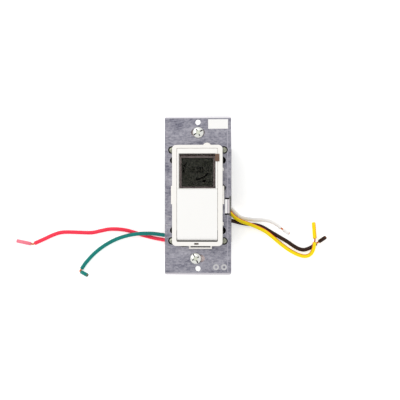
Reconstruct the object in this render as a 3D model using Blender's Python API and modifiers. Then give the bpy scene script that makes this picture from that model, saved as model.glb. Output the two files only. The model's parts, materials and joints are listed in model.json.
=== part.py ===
"""Programmable in-wall timer switch, lying on its back: face up (+Z), top end towards +Y.

The origin is the centre of the housing's rear face. Sizes are written in millimetres
times MM, so every length in the file is in metres.
"""
import math

import bmesh
import bpy
from mathutils import Vector

MM = 0.001
GAP = 0.3 * MM            # running or assembly gap between neighbouring pieces
FILM_GAP = 0.15 * MM      # gap under stickers and films
CUT = 1.0 * MM            # how far a cutter runs past the face that it opens

# Mounting strap
STRAP_SHOULDER = 5.45 * MM     # how far the strap shows beside the frame
STRAP_LENGTH = 104.8 * MM
STRAP_THICKNESS = 1.6 * MM
STRAP_CORNER = 1.2 * MM
PLATE_SCREW_SPACING = 96.84 * MM
PLATE_SCREW_HOLE = 3.5 * MM
BOX_SCREW_SPACING = 83.34 * MM
BOX_SLOT_LENGTH = 9.0 * MM
BOX_SLOT_WIDTH = 4.9 * MM
STRAP_HOLE = 4.8 * MM
STRAP_HOLE_SHIFT = 0.35 * MM   # how far inside the frame's edge the round holes are centred
STRAP_HOLES_RIGHT_Y = (23.3 * MM, 5.0 * MM, -23.1 * MM)
STRAP_HOLES_LEFT_Y = (23.3 * MM, -23.1 * MM)
EDGE_NOTCH_Y = (-13.5 * MM, -0.4 * MM)
EDGE_NOTCH_DEPTH = 1.35 * MM
TONGUE_Y = (-11.8 * MM, -2.5 * MM)
TONGUE_ROOT = 4.2 * MM    # bend line's distance from the strap's edge
TONGUE_DROP = 4.2 * MM
RELIEF_SLOT = 1.0 * MM
LABEL_SIZE = (13.2 * MM, 6.3 * MM)
LABEL_MARGIN = 2.0 * MM

# Housing and its front cover
HOUSING_SHOULDER = 3.95 * MM   # how far the housing is wider than the frame, each side
HOUSING_END = 0.75 * MM        # how far it is longer than the frame, each end
HOUSING_DEPTH = 30.2 * MM
HOUSING_WALL = 1.8 * MM
HOUSING_CORNER = 2.5 * MM
COVER_THICKNESS = 1.2 * MM
RIVET_INSET_X = 3.2 * MM
RIVET_INSET_Y = 3.9 * MM
RIVET_HOLE = 5.2 * MM
RIVET_HEAD = 4.0 * MM
RIVET_HEAD_HEIGHT = 1.2 * MM
RIVET_SHANK = 2.0 * MM
RIVET_LENGTH = 9.0 * MM
BOSS_RADIUS = 3.0 * MM
BOSS_DEPTH = 12.0 * MM
RIB_REACH = (9.7 * MM, 17.2 * MM)   # board ribs, from the inside of the lower and upper end walls
RIB_WIDTH = 3.0 * MM

# White front frame
FRAME_WIDTH = 33.1 * MM
FRAME_LENGTH = 66.5 * MM
FRAME_PROUD = 6.6 * MM    # height of the frame's face above the strap
FRAME_CORNER = 2.5 * MM
SIDE_RIM = 2.9 * MM
TOP_RIM = 2.05 * MM
BOTTOM_RIM = 2.85 * MM
HOOK_THICKNESS = 1.15 * MM
HOOK_SETBACK = 0.1 * MM
HOOK_WIDTH = 4.0 * MM
HOOK_SPREAD = 19.0 * MM
FRAME_EAR_WIDTH = 0.95 * MM
FRAME_EAR_Y = (-5.8 * MM, 6.4 * MM)
FRAME_EAR_SETBACK = 3.0 * MM
BUMP_X = 6.2 * MM
BUMP_INSET = 1.05 * MM
BUMP_RADIUS = 2.7 * MM
BUMP_HEIGHT = 2.5 * MM
FOOT_X = (-5.7 * MM, 9.4 * MM)
FOOT_SLOT_X = (-4.6 * MM, 8.5 * MM)
SHORT_SLOT_X = (-11.2 * MM, -7.4 * MM)
FOOT_REACH = 2.0 * MM
FOOT_HEIGHT = 2.4 * MM
FOOT_SLOT_REACH = 0.75 * MM

# Door, push pad and display
DOOR_TOP_Y = 4.1 * MM
DOOR_SKIN = 1.6 * MM
DOOR_SIDE_GAP = 0.35 * MM
DOOR_HINGE_GAP = 0.5 * MM
DOOR_NOSE_RADIUS = 2.4 * MM
HINGE_STUB_RADIUS = 0.5 * MM
HINGE_STUB_LENGTH = 1.1 * MM
PAD_TRAVEL = 0.8 * MM
PAD_PLATE = 1.4 * MM
PAD_RIM = 1.0 * MM
EAR_THICKNESS = 1.05 * MM
EAR_RADIUS = 1.35 * MM
BUTTON_TRAVEL = 0.6 * MM
BUTTON_RADIUS = 2.3 * MM
BUTTON_PROUD = 0.4 * MM
LENS_THICKNESS = 1.4 * MM
BEZEL_SIDE = 1.45 * MM
BEZEL_TOP = 3.8 * MM
MASK_SIDE = 1.75 * MM
MASK_TOP = 2.7 * MM
MASK_BOTTOM = 1.05 * MM
TAB_LENGTH = 2.8 * MM
TAB_WIDTH = 4.9 * MM
KEY_PITCH = 6.0 * MM
KEY_RAISE = 0.7 * MM        # how far the keys sit above the door's middle
MENU_PITCHES = 1.8
MAT_THICKNESS = 0.7 * MM
SWITCH_OFFSET = 3.9 * MM    # pad switch and springs, from the hinge line
SWITCH_RADIUS = 1.6 * MM
POST_RADIUS = 1.0 * MM
POST_LENGTH = 1.3 * MM
SPRING_WIRE = 0.22 * MM
SPRING_RADIUS = 1.5 * MM
SPRING_TURNS = 3
SPRING_INSET = 4.65 * MM

# Boards
BOARD_THICKNESS = 1.6 * MM
LOGIC_BOARD_MARGIN = 0.25 * MM
POWER_BOARD_MARGIN = 0.8 * MM
POWER_BOARD_END = 5.7 * MM
BOARD_SPACING = 6.0 * MM  # clear height between the two boards
SHEET_THICKNESS = 0.25 * MM
RELAY_CLEARANCE = 4.85 * MM        # below each part, down to the insulating sheet
TRANSFORMER_CLEARANCE = 4.15 * MM
CAPACITOR_CLEARANCE = 6.15 * MM

# Screws
SCREW_SHANK = 3.5 * MM
SCREW_HEAD = 7.3 * MM
SCREW_LENGTH = 25.4 * MM
RETAINER_SIZE = (12.0 * MM, 9.6 * MM, 0.8 * MM)
SCREW_OFFSET = {"top": 0.25 * MM, "bottom": -1.45 * MM}

# Leads: (x, y, z) in millimetres, from inside the housing wall to the stripped end
LEAD_DIAMETER = 2.6 * MM
CONDUCTOR_DIAMETER = 1.3 * MM
BARE_GAP = 1.3 * MM
CLAMP_DEPTH = 4.4 * MM
CLAMP_TOP = 10.0 * MM
CLAMP_CORNER = 1.0 * MM
CLAMP_REACH = {"left": (0.4 * MM, 6.8 * MM), "right": (13.6 * MM, 26.8 * MM)}  # from the end wall
LEADS = {
    "red": {
        "route": [(-19.2, -30.9, 6.0), (-22.4, -30.7, 5.6), (-26.4, -30.1, 4.4), (-31.9, -29.2, 2.4),
                  (-40.0, -27.3, 1.4), (-51.9, -23.8, 1.35), (-62.2, -23.0, 1.35),
                  (-69.4, -24.2, 1.35), (-75.8, -25.5, 1.35), (-83.8, -25.4, 1.35),
                  (-95.0, -25.2, 1.35), (-101.4, -26.6, 1.35), (-109.5, -30.2, 1.35),
                  (-115.8, -33.0, 1.35)],
        "slug": 10.2 * MM, "heading": (-0.98, 0.2, 0.0), "color": (0.93, 0.04, 0.07)},
    "green": {
        "route": [(-19.2, -27.3, 6.6), (-22.4, -27.2, 6.4), (-26.4, -26.8, 5.8), (-31.0, -26.2, 5.2),
                  (-35.6, -25.9, 4.8), (-43.5, -26.2, 4.7), (-51.5, -27.6, 3.8),
                  (-59.7, -30.4, 2.1), (-67.8, -34.9, 1.35), (-74.2, -40.0, 1.35),
                  (-79.8, -46.0, 1.35), (-83.0, -50.6, 1.5)],
        "slug": 6.0 * MM, "heading": (0.8, -0.35, 0.5), "color": (0.0, 0.16, 0.17)},
    "yellow": {
        "route": [(19.2, -10.8, 7.3), (21.2, -12.9, 7.0), (23.6, -15.2, 6.4), (27.5, -17.4, 5.4),
                  (33.5, -19.6, 4.7), (40.0, -22.3, 4.7), (44.8, -25.0, 4.3),
                  (49.7, -29.0, 2.8), (54.6, -33.2, 1.5), (59.5, -36.8, 1.35),
                  (63.7, -39.2, 1.35), (67.6, -40.8, 1.35), (71.4, -41.3, 1.6),
                  (74.8, -39.6, 2.8), (76.6, -35.7, 4.5), (77.2, -31.6, 4.7)],
        "slug": 11.2 * MM, "heading": (-0.07, 0.97, -0.22), "color": (0.95, 0.62, 0.0)},
    "black": {
        "route": [(19.2, -16.6, 5.2), (22.0, -17.4, 4.4), (27.3, -18.8, 2.0), (33.3, -19.7, 1.35),
                  (37.7, -20.2, 1.35), (42.0, -21.6, 1.35), (47.5, -24.8, 1.35),
                  (52.9, -28.0, 1.35), (58.4, -31.2, 1.35), (63.7, -34.8, 1.35),
                  (67.0, -36.4, 1.35), (70.3, -36.9, 1.35), (74.6, -35.4, 1.35),
                  (78.4, -32.6, 1.5)],
        "slug": 6.0 * MM, "heading": (0.72, 0.5, 0.45), "color": (0.05, 0.02, 0.01)},
    "white": {
        "route": [(19.2, -7.6, 3.6), (21.4, -9.6, 3.4), (24.2, -12.6, 2.6), (28.4, -15.3, 1.6),
                  (36.6, -16.4, 1.35), (43.1, -16.6, 1.35), (47.5, -17.6, 1.35),
                  (51.8, -19.8, 1.35), (54.3, -22.1, 1.5)],
        "slug": 5.0 * MM, "heading": (0.78, -0.48, 0.4), "color": (0.85, 0.83, 0.8)},
}

# Plan sizes worked out from the sizes above
OPENING_X = FRAME_WIDTH / 2 - SIDE_RIM
OPENING_LOW = -FRAME_LENGTH / 2 + BOTTOM_RIM
OPENING_HIGH = FRAME_LENGTH / 2 - TOP_RIM
HOUSING_WIDTH = FRAME_WIDTH + 2 * HOUSING_SHOULDER
HOUSING_LENGTH = FRAME_LENGTH + 2 * HOUSING_END
INNER_X = HOUSING_WIDTH / 2 - HOUSING_WALL
INNER_Y = HOUSING_LENGTH / 2 - HOUSING_WALL
RIVET_X = HOUSING_WIDTH / 2 - RIVET_INSET_X
RIVET_Y = HOUSING_LENGTH / 2 - RIVET_INSET_Y
HOOK_X = OPENING_X + HOOK_SETBACK
WINDOW_X = HOOK_X + HOOK_THICKNESS + GAP
WINDOW_Y = (-FRAME_LENGTH / 2 + 0.65 * MM, FRAME_LENGTH / 2 - 1.05 * MM)
LENS_WIDTH = 2 * (OPENING_X - BEZEL_SIDE)
LENS_Y = (DOOR_TOP_Y + 0.65 * MM, OPENING_HIGH - BEZEL_TOP)
SCREEN_WIDTH = LENS_WIDTH - 2 * MASK_SIDE
SCREEN_Y = (LENS_Y[0] + MASK_BOTTOM, LENS_Y[1] - MASK_TOP)
TAB_Y = (LENS_Y[1] - 0.1 * MM - TAB_WIDTH, LENS_Y[1] - 0.1 * MM)
LOGIC_BOARD_WIDTH = 2 * (OPENING_X - LOGIC_BOARD_MARGIN)
POWER_BOARD_WIDTH = 2 * (INNER_X - POWER_BOARD_MARGIN)
POWER_BOARD_LENGTH = 2 * (INNER_Y - POWER_BOARD_END)
STRAP_WIDTH = FRAME_WIDTH + 2 * STRAP_SHOULDER
STRAP_HOLE_X = FRAME_WIDTH / 2 - STRAP_HOLE_SHIFT
EDGE_X = STRAP_WIDTH / 2

# Heights worked out from the sizes above
COVER_BOTTOM = HOUSING_DEPTH + GAP
COVER_TOP = COVER_BOTTOM + COVER_THICKNESS
STRAP_BOTTOM = COVER_TOP + GAP
STRAP_TOP = STRAP_BOTTOM + STRAP_THICKNESS
FRAME_BOTTOM = STRAP_TOP + GAP
FRAME_TOP = STRAP_TOP + FRAME_PROUD
LOGIC_TOP = STRAP_BOTTOM
LOGIC_BOTTOM = LOGIC_TOP - BOARD_THICKNESS
POWER_TOP = LOGIC_BOTTOM - BOARD_SPACING
POWER_BOTTOM = POWER_TOP - BOARD_THICKNESS
HOUSING_FLOOR = HOUSING_WALL
SHEET_TOP = HOUSING_FLOOR + GAP + SHEET_THICKNESS

# The door's hinge and the pad under it
HINGE_Y = OPENING_LOW + DOOR_HINGE_GAP + DOOR_NOSE_RADIUS
HINGE_Z = FRAME_TOP - DOOR_NOSE_RADIUS
DOOR_INNER = FRAME_TOP - DOOR_SKIN
EAR_ROOT_REACH = DOOR_NOSE_RADIUS + GAP + 1.2 * MM
PAD_TOP = DOOR_INNER - DOOR_SKIN
PAD_BOTTOM = PAD_TOP - PAD_PLATE

PARTS = None
CUTTERS = None


def collection(name):
    made = bpy.data.collections.new(name)
    bpy.context.scene.collection.children.link(made)
    return made


def material(name, color, roughness=0.5, metallic=0.0, alpha=1.0):
    made = bpy.data.materials.get(name)
    if made is None:
        made = bpy.data.materials.new(name)
        made.use_nodes = True
        shader = made.node_tree.nodes["Principled BSDF"]
        shader.inputs["Base Color"].default_value = (*color, 1.0)
        shader.inputs["Roughness"].default_value = roughness
        shader.inputs["Metallic"].default_value = metallic
        shader.inputs["Alpha"].default_value = alpha
    return made


def world_place(thing):
    """Where an unturned pivot stands, through all of its parents."""
    place = Vector(thing.location)
    while thing.parent is not None:
        thing = thing.parent
        place += thing.location
    return place


def link(mesh, name, place=(0, 0, 0), finish=None, parent=None):
    """Put a mesh in the scene: among the parts if it has a material, else among the cutters."""
    made = bpy.data.objects.new(name, mesh)
    made.location = place
    if finish is None:
        CUTTERS.objects.link(made)
        made.hide_render = True
        made.display_type = "WIRE"
    else:
        PARTS.objects.link(made)
        mesh.materials.append(finish)
    if parent is not None:
        made.parent = parent
        made.location = Vector(place) - world_place(parent)
    return made


def block(name, low, high, finish=None, corner=0.0, parent=None):
    """A box between two corners, with its four upright edges rounded to a radius."""
    size = [b - a for a, b in zip(low, high)]
    middle = [(a + b) / 2 for a, b in zip(low, high)]
    form = bmesh.new()
    bmesh.ops.create_cube(form, size=1.0)
    bmesh.ops.scale(form, vec=size, verts=form.verts)
    if corner > 0:
        upright = [e for e in form.edges
                   if abs(e.verts[0].co.z - e.verts[1].co.z) > size[2] / 2]
        limit = min(size[0], size[1]) / 2 * 0.999
        bmesh.ops.bevel(form, geom=upright, offset=min(corner, limit), segments=4,
                        profile=0.5, affect="EDGES")
    mesh = bpy.data.meshes.new(name)
    form.to_mesh(mesh)
    form.free()
    return link(mesh, name, middle, finish, parent)


def rod(name, start, end, radius, finish=None, sides=24, parent=None):
    """A closed cylinder from one point to another."""
    along = Vector(end) - Vector(start)
    form = bmesh.new()
    bmesh.ops.create_cone(form, cap_ends=True, segments=sides, radius1=radius, radius2=radius,
                          depth=along.length)
    mesh = bpy.data.meshes.new(name)
    form.to_mesh(mesh)
    form.free()
    made = link(mesh, name, (Vector(start) + Vector(end)) / 2, finish, parent)
    made.rotation_mode = "QUATERNION"
    made.rotation_quaternion = Vector((0, 0, 1)).rotation_difference(along.normalized())
    made.data.shade_smooth()
    made.data.set_sharp_from_angle(angle=math.radians(40))
    return made


def turned(name, profile, place, finish, sides=20, parent=None):
    """Turn an outline of (radius, height) points, listed from the top down, about Z."""
    mesh = bpy.data.meshes.new(name)
    mesh.from_pydata([(r, 0, z) for r, z in profile],
                     [(i, i + 1) for i in range(len(profile) - 1)], [])
    made = link(mesh, name, place, finish, parent)
    screw = made.modifiers.new("turn", "SCREW")
    screw.steps = sides
    screw.render_steps = sides
    screw.use_merge_vertices = True
    screw.merge_threshold = 1e-6
    return made


def dome(radius, height, top, steps=4):
    """Profile points of a low round head, from its crown down to its rim."""
    points = []
    for i in range(steps + 1):
        turn = math.pi / 2 * i / steps
        points.append((radius * math.sin(turn), top - height * (1 - math.cos(turn))))
    return points


def boolean(target, tool, operation):
    change = target.modifiers.new(tool.name, "BOOLEAN")
    change.operation = operation
    change.solver = "EXACT"
    change.object = tool


def cut(target, *tools):
    for tool in tools:
        boolean(target, tool, "DIFFERENCE")


def join(target, *tools):
    for tool in tools:
        boolean(target, tool, "UNION")


def pivot(name, place, parent=None):
    made = bpy.data.objects.new(name, None)
    PARTS.objects.link(made)
    made.location = place
    if parent is not None:
        made.parent = parent
        made.location = Vector(place) - world_place(parent)
    return made


def smooth_route(points, spacing):
    """Read evenly spaced points off a Catmull-Rom curve through the route's own points."""
    ends = [points[0] * 2 - points[1], *points, points[-1] * 2 - points[-2]]
    fine = []
    for a, b, c, d in zip(ends, ends[1:], ends[2:], ends[3:]):
        for i in range(16):
            t = i / 16
            fine.append(0.5 * (2 * b + (c - a) * t + (2 * a - 5 * b + 4 * c - d) * t ** 2
                               + (3 * b - a - 3 * c + d) * t ** 3))
    fine.append(points[-1])
    travel = [0.0]
    for a, b in zip(fine, fine[1:]):
        travel.append(travel[-1] + (b - a).length)
    count = max(2, round(travel[-1] / spacing))
    even, at = [], 0
    for i in range(count + 1):
        want = travel[-1] * i / count
        while at < len(fine) - 2 and travel[at + 1] < want:
            at += 1
        share = (want - travel[at]) / (travel[at + 1] - travel[at])
        even.append(fine[at].lerp(fine[at + 1], share))
    return even


def tube(name, points, radius, finish):
    curve = bpy.data.curves.new(name, "CURVE")
    curve.dimensions = "3D"
    curve.bevel_depth = radius
    curve.bevel_resolution = 2
    curve.use_fill_caps = True
    spline = curve.splines.new("POLY")
    spline.points.add(len(points) - 1)
    for point, place in zip(spline.points, points):
        point.co = (*place, 1.0)
    curve.materials.append(finish)
    made = bpy.data.objects.new(name, curve)
    PARTS.objects.link(made)
    return made


def make_strap():
    metal = material("strap_metal", (0.27, 0.26, 0.30), 0.42, 1.0)
    half_x, half_y = STRAP_WIDTH / 2, STRAP_LENGTH / 2
    strap = block("yoke_strap", (-half_x, -half_y, STRAP_BOTTOM), (half_x, half_y, STRAP_TOP),
                  metal, STRAP_CORNER)
    low, high = STRAP_BOTTOM - CUT, STRAP_TOP + CUT
    cut(strap, block("strap_window", (-WINDOW_X, WINDOW_Y[0], low), (WINDOW_X, WINDOW_Y[1], high),
                     corner=1.0 * MM))

    def hole(label, x, y, diameter, sides=24):
        cut(strap, rod(f"strap_{label}", (x, y, low), (x, y, high), diameter / 2, sides=sides))

    for end in (-1, 1):
        hole(f"plate_hole_{end}", 0, end * PLATE_SCREW_SPACING / 2, PLATE_SCREW_HOLE)
        y = end * BOX_SCREW_SPACING / 2
        cut(strap, block(f"strap_slot_{end}", (-BOX_SLOT_LENGTH / 2, y - BOX_SLOT_WIDTH / 2, low),
                         (BOX_SLOT_LENGTH / 2, y + BOX_SLOT_WIDTH / 2, high),
                         corner=BOX_SLOT_WIDTH / 2))
        for side in (-1, 1):
            hole(f"rivet_hole_{end}_{side}", side * RIVET_X, end * RIVET_Y, RIVET_HOLE)
    for y in STRAP_HOLES_RIGHT_Y:
        hole(f"right_hole_{y:.4f}", STRAP_HOLE_X, y, STRAP_HOLE)
    for y in STRAP_HOLES_LEFT_Y:
        hole(f"left_hole_{y:.4f}", -STRAP_HOLE_X, y, STRAP_HOLE)

    # edge notch, tongue bent down into the housing, and the two slots that free it
    notch_x = EDGE_X - EDGE_NOTCH_DEPTH
    cut(strap, block("strap_notch", (notch_x, EDGE_NOTCH_Y[0], low),
                     (EDGE_X + CUT, EDGE_NOTCH_Y[1], high)))
    root = EDGE_X - TONGUE_ROOT
    for label, y_low, y_high in (
            ("upper", TONGUE_Y[1], TONGUE_Y[1] + RELIEF_SLOT),
            ("lower", TONGUE_Y[0] - RELIEF_SLOT, TONGUE_Y[0])):
        cut(strap, block(f"strap_relief_{label}", (root, y_low, low), (notch_x + CUT / 2, y_high, high)))
    join(strap, block("strap_tongue",
                      (notch_x - STRAP_THICKNESS * 0.75, TONGUE_Y[0], STRAP_BOTTOM - TONGUE_DROP),
                      (notch_x - 0.05 * MM, TONGUE_Y[1], STRAP_TOP - 0.2 * MM)))
    # dark slots below the frame's foot
    foot_y = -FRAME_LENGTH / 2
    for label, x_low, x_high in (("foot", *FOOT_SLOT_X), ("short", *SHORT_SLOT_X)):
        cut(strap, block(f"strap_{label}_slot", (x_low, foot_y - FOOT_SLOT_REACH, low),
                         (x_high, foot_y - 0.2 * MM, high)))
    label_x, label_y = EDGE_X - LABEL_MARGIN, half_y - LABEL_MARGIN
    block("blank_label", (label_x - LABEL_SIZE[0], label_y - LABEL_SIZE[1], STRAP_TOP + FILM_GAP),
          (label_x, label_y, STRAP_TOP + 2 * FILM_GAP), material("label_white", (0.9, 0.9, 0.9)))
    return strap


def make_box_screws():
    steel = material("screw_steel", (0.75, 0.75, 0.74), 0.25, 1.0)
    fibre = material("fibre_pink", (0.72, 0.60, 0.58), 0.8)
    length, width, thick = RETAINER_SIZE
    for label, end in (("top", 1), ("bottom", -1)):
        x, y = SCREW_OFFSET[label], end * BOX_SCREW_SPACING / 2
        slider = pivot(f"{label}_retainer_axis", (x, y, STRAP_BOTTOM))
        washer_top = STRAP_BOTTOM - GAP
        washer = block(f"screw_retainer_{label}", (x - length / 2, y - width / 2, washer_top - thick),
                       (x + length / 2, y + width / 2, washer_top), fibre, 1.0 * MM, slider)
        cut(washer, rod(f"retainer_bore_{label}", (x, y, washer_top - thick - CUT),
                        (x, y, washer_top + CUT), SCREW_SHANK / 2 + GAP))
        seat = STRAP_TOP + GAP
        profile = dome(SCREW_HEAD / 2, 1.2 * MM, 1.7 * MM)
        profile += [(SCREW_HEAD / 2, 0.0), (SCREW_SHANK / 2, 0.0),
                    (SCREW_SHANK / 2, -SCREW_LENGTH + 1.0 * MM),
                    (SCREW_SHANK / 2 * 0.6, -SCREW_LENGTH), (0.0, -SCREW_LENGTH)]
        screw = turned(f"mounting_screw_{label}", profile, (x, y, seat), steel, 24, slider)
        drive = 28 if end > 0 else -62
        for turn, half in ((drive, SCREW_HEAD), (drive + 90, 2.4 * MM)):
            slot = block(f"drive_slot_{label}_{turn}", (x - half, y - 0.45 * MM, seat + 0.9 * MM),
                         (x + half, y + 0.45 * MM, seat + 3 * MM))
            slot.rotation_euler = (0, 0, math.radians(turn))
            cut(screw, slot)


def make_housing():
    black = material("housing_black", (0.012, 0.012, 0.013), 0.45)
    half_x, half_y = HOUSING_WIDTH / 2, HOUSING_LENGTH / 2
    housing = block("back_housing", (-half_x, -half_y, 0), (half_x, half_y, HOUSING_DEPTH),
                    black, HOUSING_CORNER)
    cut(housing, block("housing_hollow", (-INNER_X, -INNER_Y, HOUSING_FLOOR),
                       (INNER_X, INNER_Y, HOUSING_DEPTH + CUT), corner=HOUSING_CORNER - 1.0 * MM))
    boss_low = HOUSING_DEPTH - BOSS_DEPTH
    for side in (-1, 1):
        for end in (-1, 1):
            x, y = side * RIVET_X, end * RIVET_Y
            label = f"{side}_{end}"
            join(housing, rod(f"boss_{label}", (x, y, boss_low), (x, y, HOUSING_DEPTH), BOSS_RADIUS))
            cut(housing, rod(f"boss_bore_{label}", (x, y, boss_low - CUT), (x, y, HOUSING_DEPTH + CUT),
                             RIVET_SHANK / 2 + GAP))
        for y in (-INNER_Y + RIB_REACH[0], INNER_Y - RIB_REACH[1]):
            rib = sorted((side * (INNER_X - 1.4 * MM), side * (INNER_X + 0.5 * MM)))
            join(housing, block(f"board_rib_{side}_{y:.3f}",
                                (rib[0], y - RIB_WIDTH / 2, HOUSING_FLOOR - 0.5 * MM),
                                (rib[1], y + RIB_WIDTH / 2, POWER_BOTTOM - GAP)))
    slot_low = STRAP_BOTTOM - TONGUE_DROP - GAP
    slot = block("tongue_slot", (INNER_X - CUT, TONGUE_Y[0] - GAP, slot_low),
                 (half_x + CUT, TONGUE_Y[1] + GAP, HOUSING_DEPTH + 2 * CUT))
    cut(housing, slot)
    for name, lead in LEADS.items():
        inner, outer = (Vector(p) * MM for p in lead["route"][:2])
        reach = (outer - inner).normalized() * 4 * MM
        cut(housing, rod(f"lead_hole_{name}", inner - reach, outer + reach,
                         LEAD_DIAMETER / 2 + GAP, sides=20))

    cover = block("front_cover", (-half_x, -half_y, COVER_BOTTOM), (half_x, half_y, COVER_TOP),
                  black, HOUSING_CORNER)
    low, high = COVER_BOTTOM - CUT, COVER_TOP + CUT
    cut(cover, block("cover_window", (-WINDOW_X, WINDOW_Y[0], low), (WINDOW_X, WINDOW_Y[1], high),
                     corner=1.0 * MM), slot)
    steel = material("rivet_steel", (0.45, 0.44, 0.42), 0.35, 1.0)
    head_base = COVER_TOP + GAP
    number = 0
    for side in (-1, 1):
        for end in (-1, 1):
            number += 1
            x, y = side * RIVET_X, end * RIVET_Y
            cut(cover, rod(f"cover_bore_{number}", (x, y, low), (x, y, high), RIVET_SHANK / 2 + GAP))
            profile = dome(RIVET_HEAD / 2, 0.5 * MM, RIVET_HEAD_HEIGHT, 3)
            profile += [(RIVET_HEAD / 2, 0.0), (RIVET_SHANK / 2, 0.0),
                        (RIVET_SHANK / 2, -RIVET_LENGTH), (0.0, -RIVET_LENGTH)]
            turned(f"case_rivet_{number}", profile, (x, y, head_base), steel, 16)


def make_frame():
    white = material("frame_white", (0.90, 0.89, 0.87), 0.35)
    half_x, half_y = FRAME_WIDTH / 2, FRAME_LENGTH / 2
    frame = block("front_frame", (-half_x, -half_y, FRAME_BOTTOM), (half_x, half_y, FRAME_TOP),
                  white, FRAME_CORNER)
    ear_x = half_x + FRAME_EAR_WIDTH
    join(frame, block("frame_ears", (-ear_x, FRAME_EAR_Y[0], FRAME_BOTTOM),
                      (ear_x, FRAME_EAR_Y[1], FRAME_TOP - FRAME_EAR_SETBACK)))
    bump_y = half_y - BUMP_INSET
    join(frame, rod("frame_bump", (BUMP_X, bump_y, FRAME_BOTTOM),
                    (BUMP_X, bump_y, FRAME_BOTTOM + BUMP_HEIGHT), BUMP_RADIUS))
    foot_top = FRAME_BOTTOM + FOOT_HEIGHT
    join(frame, block("frame_foot", (FOOT_X[0], -half_y - FOOT_REACH, FRAME_BOTTOM),
                      (FOOT_X[1], -half_y + 1 * MM, foot_top)))
    for y_low, y_high in ((16.3 * MM, 18.2 * MM), (-19.8 * MM, -17.5 * MM)):
        join(frame, block(f"frame_catch_{y_low:.4f}", (half_x - 1 * MM, y_low, FRAME_BOTTOM),
                          (half_x + 0.5 * MM, y_high, FRAME_BOTTOM + 2 * MM)))
    cut(frame, block("foot_slot", (FOOT_SLOT_X[0], -half_y - FOOT_SLOT_REACH, FRAME_BOTTOM - CUT),
                     (FOOT_SLOT_X[1], -half_y - 0.05 * MM, foot_top + CUT)))
    cut(frame, block("frame_opening", (-OPENING_X, OPENING_LOW, FRAME_BOTTOM - CUT),
                     (OPENING_X, OPENING_HIGH, FRAME_TOP + CUT), corner=0.8 * MM))
    # snap hooks that reach through the strap's window and hold under the cover
    hook_low = COVER_BOTTOM - GAP - 1.0 * MM
    for side in (-1, 1):
        for y in (-HOOK_SPREAD / 2, HOOK_SPREAD / 2):
            xs = sorted((side * HOOK_X, side * (HOOK_X + HOOK_THICKNESS)))
            barb = sorted((side * HOOK_X, side * (WINDOW_X + 0.5 * MM)))
            join(frame,
                 block(f"hook_{side}_{y:.4f}", (xs[0], y - HOOK_WIDTH / 2, hook_low),
                       (xs[1], y + HOOK_WIDTH / 2, FRAME_BOTTOM + 0.5 * MM)),
                 block(f"barb_{side}_{y:.4f}", (barb[0], y - HOOK_WIDTH / 2, hook_low),
                       (barb[1], y + HOOK_WIDTH / 2, hook_low + 1.0 * MM)))
        # pockets for the pad's hinge ears, closed at the front by the rim
        pocket = sorted((side * (OPENING_X - CUT), side * (OPENING_X + EAR_THICKNESS + 2 * GAP)))
        reach = EAR_RADIUS + GAP
        cut(frame, block(f"ear_pocket_{side}", (pocket[0], HINGE_Y - reach, FRAME_BOTTOM - CUT),
                         (pocket[1], HINGE_Y + EAR_ROOT_REACH + GAP, HINGE_Z + EAR_RADIUS + GAP)))
    pipe_x, pipe_y = -0.5 * MM, OPENING_LOW - BOTTOM_RIM / 2
    cut(frame, block("pipe_slot", (pipe_x - 1.45 * MM, pipe_y - 0.6 * MM, FRAME_BOTTOM - CUT),
                     (pipe_x + 1.45 * MM, pipe_y + 0.6 * MM, FRAME_TOP + CUT), corner=0.3 * MM))
    block("light_pipe", (pipe_x - 1.15 * MM, pipe_y - 0.3 * MM, LOGIC_TOP + GAP),
          (pipe_x + 1.15 * MM, pipe_y + 0.3 * MM, FRAME_TOP - 0.3 * MM),
          material("pipe_clear", (0.8, 0.8, 0.78), 0.2))


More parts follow.
